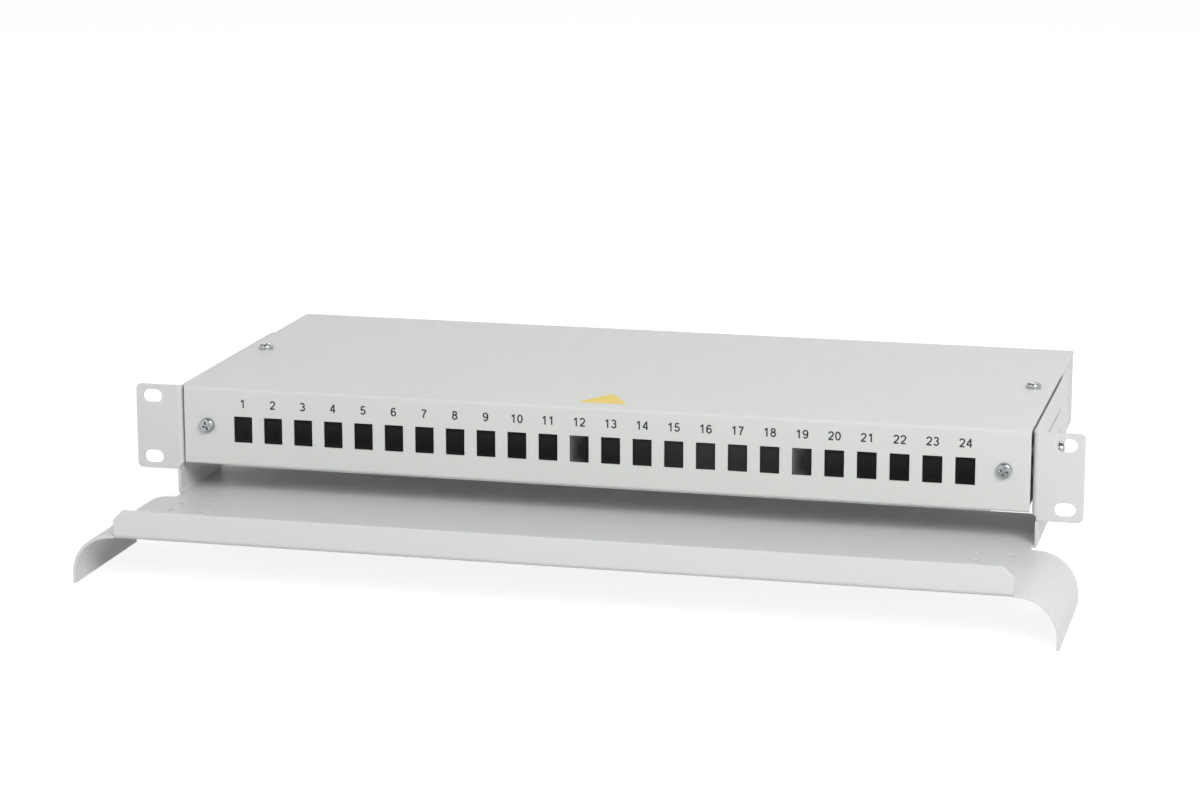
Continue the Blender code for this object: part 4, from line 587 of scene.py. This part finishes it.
leans = np.random.default_rng(LEAN_SEED).normal(0.0, LEAN_SPREAD, (PORT_COUNT, 2))
for number in range(1, PORT_COUNT + 1):
    node = f"port_blank_{number:02d}"
    low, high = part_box(node)
    middle = np.array([(low.x + high.x) / 2, low.y, (low.z + high.z) / 2])
    wide, tall = high.x - low.x, high.z - low.z
    cap = carried(wide - 2 * FLANGE_SIDE, tall - 2 * FLANGE_SIDE, BLANK_PROFILE, leans[number - 1])
    plate = carried(wide, tall, FLANGE_PROFILE)
    around = cap.shape[1]
    cap_faces = ring_faces(len(cap), around).tolist()
    cap_faces += [list(range(around))[::-1], list(range((len(cap) - 1) * around, len(cap) * around))]
    plate_faces = (ring_faces(len(plate), around) + len(cap) * around).tolist()
    points = np.concatenate([cap.reshape(-1, 3), plate.reshape(-1, 3)]) + middle
    faces = [face[::-1] for face in cap_faces + plate_faces]
    blank = show(f"blank_{number:02d}", points, faces, "blank_gloss", BODY_OF[node], replaced=(node,))
    # painted reflection: each point's share of the light grey that stands in for mirrored light
    reflection_values = blank.data.attributes.new("painted_reflection", "FLOAT", "POINT")
    reflection_values.data.foreach_set("value", haze_on(number, (points[:, 0] - middle[0]) / wide).astype(np.float32))
    blank.data.set_sharp_from_angle(angle=math.radians(BLANK_SHARP))
most_lean = math.degrees(np.abs(leans).max())
print(f"{PORT_COUNT} blanks of {len(points)} points, leaning up to {most_lean:.2f} degrees")

# %% [markdown]
# ## The screws
#
# A pan head screw is turned and its cross recess is pressed in. The head is a surface on two
# parameters, the way round and the way from crown to rim: its height follows a flat oval, and the
# recess is taken off where two crossing slots with sloping walls lie. The thread is the same kind of
# surface, a cylinder whose radius rises and falls along a helix.

# %% Shape a screw
HEAD_RADIUS = 3.85 * MM
HEAD_HEIGHT = 2.4 * MM
SHANK_RADIUS = 2.0 * MM
THREAD_PITCH = 0.7 * MM
RECESS_ARM = 2.2 * MM
RECESS_HALF = 0.55 * MM
RECESS_DEPTH = 1.3 * MM
RECESS_WALL, RECESS_END = 0.16 * MM, 0.7 * MM    # how wide the sloping walls and ends are
CROWN_POWER = 9                                  # the higher, the flatter the crown
SHOULDER_ROW, SHOULDER_SHARE = 0.8, 0.86         # this share of the rows spans this share of the radius
CENTRE_SHARE = 0.004                             # the crown's first ring, closed by one face
THREAD_DEPTH = 0.34 * MM
POINTS_PER_THREAD = 6
TIP_LENGTH, TIP_SHARE = 0.6 * MM, 0.55
SCREW_SHARP = 40                                 # folds that turn more, in degrees, stay sharp
SEAT_GAP = 0.3 * MM


def cross_recess(across, along):
    """How deep the recess is at a point of the head: the deeper of two crossing slots, each full depth
    within its width less a sloping wall, and running up to the surface at its ends."""
    def slot(u, v):
        wall = np.clip((RECESS_HALF - np.abs(v)) / RECESS_WALL, 0, 1)
        end = np.clip((RECESS_ARM - np.abs(u)) / RECESS_END, 0, 1)
        return wall * end
    return RECESS_DEPTH * np.maximum(slot(across, along), slot(along, across))


def screw_surface(length, around=144, rows=46):
    """The points of the head and of the shank. At a share of the head's radius, the head's height is
    HEAD_HEIGHT times the root of one less the ninth power of that share, less the recess; two more
    rings, one at the rim and one at the shank, lie SEAT_GAP below the head. The shank's radius falls
    by up to THREAD_DEPTH as a triangle wave along a helix, and narrows at the tip."""
    bearing = np.linspace(0, 2 * np.pi, around, endpoint=False)
    row = np.linspace(0.0, 1.0, rows)[:, None]
    outer = SHOULDER_SHARE + (row - SHOULDER_ROW) / (1 - SHOULDER_ROW) * (1 - SHOULDER_SHARE)
    share = np.where(row < SHOULDER_ROW, row / SHOULDER_ROW * SHOULDER_SHARE, outer)
    radius = HEAD_RADIUS * np.clip(share, CENTRE_SHARE, 1)
    height = HEAD_HEIGHT * np.sqrt(np.clip(1 - share ** CROWN_POWER, 0, 1))
    x, y = radius * np.cos(bearing), radius * np.sin(bearing)
    head = np.stack([x, y, height - cross_recess(x, y)], -1)
    circle = np.stack([np.cos(bearing), np.sin(bearing)], -1)
    below = [np.insert(size * circle, 2, -SEAT_GAP, axis=1) for size in (HEAD_RADIUS, SHANK_RADIUS)]
    head = np.concatenate([head, np.stack(below)])
    turn = np.linspace(0, 2 * np.pi, 36, endpoint=False)
    down = np.linspace(0, length, int(length / THREAD_PITCH * POINTS_PER_THREAD))[:, None]
    ridge = np.abs(((down / THREAD_PITCH - turn / (2 * np.pi)) % 1.0) - 0.5) * 2
    taper = np.clip((length - down) / TIP_LENGTH, TIP_SHARE, 1)
    thread = (SHANK_RADIUS - THREAD_DEPTH * ridge) * taper
    shank = np.stack([thread * np.cos(turn), thread * np.sin(turn), -down + 0 * turn], -1)
    return head, shank


def screw_faces(head, shank):
    """Quads over both surfaces, with the crown and the tip closed."""
    around, turn = head.shape[1], shank.shape[1]
    faces = ring_faces(len(head), around).tolist() + [list(range(around))[::-1]]
    start = len(head) * around
    faces += (ring_faces(len(shank), turn) + start).tolist()
    faces += [list(range(start + (len(shank) - 1) * turn, start + len(shank) * turn))]
    return faces


head, shank = screw_surface(9.0 * MM)
print(f"a screw has {head.shape[0] * head.shape[1] + shank.shape[0] * shank.shape[1]} points")

# %% Drive the screws home
# Each row: node, the head's outward axis, and how far round the recess has stopped, in degrees
SCREWS = (
    ("hood_front_screw_left", "-Y", 20), ("hood_front_screw_right", "-Y", -12),
    ("hood_top_screw_left", "+Z", 35), ("hood_top_screw_right", "+Z", 8),
    ("tray_screw_left_front", "-X", 15), ("tray_screw_left_rear", "-X", 62),
    ("tray_screw_right_front", "+X", 40), ("tray_screw_right_rear", "+X", 5),
)
AXES = {
    "-Y": np.array([[1, 0, 0], [0, 0, 1], [0, -1, 0]], float),
    "+Z": np.array([[1, 0, 0], [0, 1, 0], [0, 0, 1]], float),
    "-X": np.array([[0, 0, 1], [0, 1, 0], [-1, 0, 0]], float),
    "+X": np.array([[0, 1, 0], [0, 0, 1], [1, 0, 0]], float),
}
for node, axis, stopped in SCREWS:
    low, high = (np.array(corner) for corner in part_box(node))
    frame_axes = AXES[axis]
    outward = frame_axes[2]
    crown = np.where(outward > 0, high, np.where(outward < 0, low, (low + high) / 2))
    seat = crown - outward * HEAD_HEIGHT
    length = abs(((high - low) * np.abs(outward)).sum()) - HEAD_HEIGHT
    head, shank = screw_surface(length)
    points = np.concatenate([head.reshape(-1, 3), shank.reshape(-1, 3)])
    angle = math.radians(stopped)
    cosine, sine = math.cos(angle), math.sin(angle)
    spin = np.array([[cosine, sine, 0], [-sine, cosine, 0], [0, 0, 1]])
    points = points @ spin @ frame_axes + seat
    faces = [face[::-1] for face in screw_faces(head, shank)]
    piece = show(node + "_turned", points, faces, "zinc", BODY_OF[node], replaced=(node,))
    piece.data.set_sharp_from_angle(angle=math.radians(SCREW_SHARP))
print(f"{len(SCREWS)} screws")

# %% [markdown]
# ## Printed numbers
#
# The ports are numbered from one to twenty-four in dark grey ink. A pad print is a film a few
# hundredths of a millimetre thick. A plain digit is a pen stroke of one width, so here each digit is
# a few centre lines, made of arcs and straight lines, and the film is a flat bar carried along them.
# That gives closed strokes, which a typeface turned into a mesh doesn't.


# %% Draw the digits
def arc(across, up, half_width, half_height, start, stop, steps=22):
    """Points on an ellipse about (across, up), from one angle to the other, in degrees."""
    angle = np.radians(np.linspace(start, stop, steps))
    return np.stack([across + half_width * np.cos(angle), up + half_height * np.sin(angle)], -1)


def line(*corners):
    """Points on straight lines through the corners, given as pairs."""
    return np.array(corners, float)


SIX = [arc(0.34, 0.5, 0.26, 0.435, 42, 215, 26), arc(0.335, 0.315, 0.25, 0.25, 0, 360, 36)]
DIGITS = {
    "0": [arc(0.33, 0.5, 0.25, 0.435, 0, 360, 40)],
    "1": [line((0.40, 0.0), (0.40, 1.0)), line((0.13, 0.735), (0.27, 0.82), (0.37, 0.94))],
    "2": [np.concatenate([arc(0.325, 0.695, 0.25, 0.24, 172, -28),
                          line((0.36, 0.34), (0.16, 0.17), (0.085, 0.07))]),
          line((0.03, 0.065), (0.595, 0.065))],
    "3": [arc(0.315, 0.735, 0.215, 0.20, 162, -90), arc(0.315, 0.295, 0.25, 0.23, 90, -162)],
    "4": [line((0.47, 0.0), (0.47, 1.0)), line((0.46, 0.955), (0.07, 0.34)),
          line((0.025, 0.29), (0.63, 0.29))],
    "5": [line((0.15, 0.935), (0.56, 0.935)), line((0.175, 0.96), (0.11, 0.47)),
          arc(0.315, 0.32, 0.25, 0.255, 145, -158, 30)],
    "6": SIX,
    "7": [line((0.05, 0.935), (0.59, 0.935)),
          line((0.575, 0.90), (0.42, 0.64), (0.30, 0.34), (0.245, 0.0))],
    "8": [arc(0.325, 0.745, 0.205, 0.195, 0, 360, 32), arc(0.325, 0.29, 0.25, 0.23, 0, 360, 36)],
    "9": [np.array([0.655, 1.0]) - stroke for stroke in SIX],    # a six turned half round
}
print(f"{sum(len(strokes) for strokes in DIGITS.values())} strokes draw the ten digits")

# %% Print the numbers
NUMBER_HEIGHT = 4.35 * MM
NUMBER_LEVEL, PRINT_TILT = 14.35 * MM, 0.0012    # the row rises by the tilt towards the right
DIGIT_STEP = 0.79                                # from one digit to the next, in digit heights
DIGIT_WIDTH = 0.65                               # in digit heights
INK_WIDTH = 0.17                                 # in digit heights
INK_THICKNESS = 0.03 * MM
LAYER_RISE = 0.05                                # how much thicker the next stroke is, of the film
LOOKS["print_ink"] = finish(
    "print_ink", tint(34, 36, 38), tint(46, 48, 50), 220.0, (0.45, 0.6), (2400.0, 6000.0), 0.006 * MM
)
panel_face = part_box("hood")[0].y


def ink_bar(path, layer):
    """A flat bar carried along a path in the panel's plane: its two edges stand half an ink width to
    each side, along the path's normal, and its front stands an ink film before the panel."""
    step = np.gradient(path, axis=0)
    if np.allclose(path[0], path[-1]):
        step[[0, -1]] = path[1] - path[-2]
    step /= np.linalg.norm(step, axis=1, keepdims=True)
    side = np.stack([-step[:, 1], step[:, 0]], -1) * INK_WIDTH * NUMBER_HEIGHT / 2
    front = panel_face - INK_THICKNESS * (1 + LAYER_RISE * layer)
    rails = [(path + side, front), (path - side, front), (path - side, panel_face), (path + side, panel_face)]
    rings = np.stack([
        np.stack([rail[:, 0], np.full(len(rail), depth), rail[:, 1]], -1) for rail, depth in rails
    ], 1)
    faces = ring_faces(len(path), 4)
    ends = [[3, 2, 1, 0], [4 * len(path) - 4 + index for index in range(4)]]
    return rings.reshape(-1, 3), faces.tolist() + ends


ink_points, ink_faces, count = [], [], 0
for number in range(1, PORT_COUNT + 1):
    low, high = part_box(f"port_blank_{number:02d}")
    word = str(number)
    start = -(DIGIT_WIDTH + DIGIT_STEP * (len(word) - 1)) / 2
    middle_x = (low.x + high.x) / 2
    for place, letter in enumerate(word):
        for layer, stroke in enumerate(DIGITS[letter]):
            path = (stroke + [start + DIGIT_STEP * place, -0.5]) * NUMBER_HEIGHT
            path = path + [middle_x, NUMBER_LEVEL + PRINT_TILT * middle_x]
            points, faces = ink_bar(path, layer)
            ink_points.append(points)
            ink_faces += [[index + count for index in face] for face in faces]
            count += len(points)
show("port_numbers", np.concatenate(ink_points), ink_faces, "print_ink", BODY_OF["hood"], smooth=False)
print(f"{PORT_COUNT} numbers, {len(ink_faces)} faces")

# %% [markdown]
# ## The warning triangle
#
# A yellow triangle lies on the cover behind the front edge. It is a plain vinyl sticker here, with no
# sign on it. Its outline is three arcs joined by straight sides, and its skin is carried in from the
# cut edge, so that the sticker has a thickness and a soft edge.

# %% Stick on the triangle
TRIANGLE_SIDE = 25.0 * MM
TRIANGLE_CORNER = 1.2 * MM
TRIANGLE_FRONT = (1.5 * MM, 8.6 * MM)            # the middle of its front side
VINYL_THICKNESS = 0.12 * MM
LOOKS["yellow_vinyl"] = finish(
    "yellow_vinyl", tint(236, 205, 70), tint(230, 198, 62), 60.0, (0.34, 0.44), (420.0, 2600.0), 0.01 * MM
)
# two small pips stand higher than the cover, so this takes the level that nine points in ten don't pass
cover_top = float(np.quantile(merged_shape("hood")[0][:, 2], 0.9))
reach = TRIANGLE_SIDE / math.sqrt(3) - 2 * TRIANGLE_CORNER
heart = np.array([TRIANGLE_FRONT[0], TRIANGLE_FRONT[1] + TRIANGLE_SIDE / (2 * math.sqrt(3))])
print(f"cover top at {cover_top * 1000:.2f} mm, triangle reach {reach * 1000:.1f} mm")
corner_aims = np.radians([210, 330, 90])
corner_middles = heart + reach * np.stack([np.cos(corner_aims), np.sin(corner_aims)], -1)
swing = np.radians(np.linspace(-60, 60, 8))
edge_line = (corner_middles[:, None] + TRIANGLE_CORNER * np.stack(
    [np.cos(corner_aims[:, None] + swing), np.sin(corner_aims[:, None] + swing)], -1)).reshape(-1, 2)
# each row is a ring of the skin: its share of the outline, and its share of the thickness
shares = np.array([[1.0, 0.0], [1.0, 0.6], [0.995, 1.0], [0.9, 1.0], [0.02, 1.0]])
skin = np.stack([heart + share * (edge_line - heart) for share, _ in shares])
levels = cover_top + VINYL_THICKNESS * shares[:, 1, None] + 0 * edge_line[:, 0]
points = np.concatenate([skin, levels[..., None]], -1).reshape(-1, 3)
around = len(edge_line)
middle_face = list(range((len(shares) - 1) * around, len(shares) * around))
faces = ring_faces(len(shares), around).tolist() + [middle_face]
show("warning_triangle", points, faces, "yellow_vinyl", BODY_OF["hood"], smooth=False)
print(f"triangle of {TRIANGLE_SIDE * 1000:.0f} mm sides")

# %% [markdown]
# ## Sizes, and the end
#
# The dressed object must stay as large as its solids. The solids' box is printed here.

# %% Print the solids' box
print("solids", [round((b - a) * 1000, 2) for a, b in zip(*cad_box)])
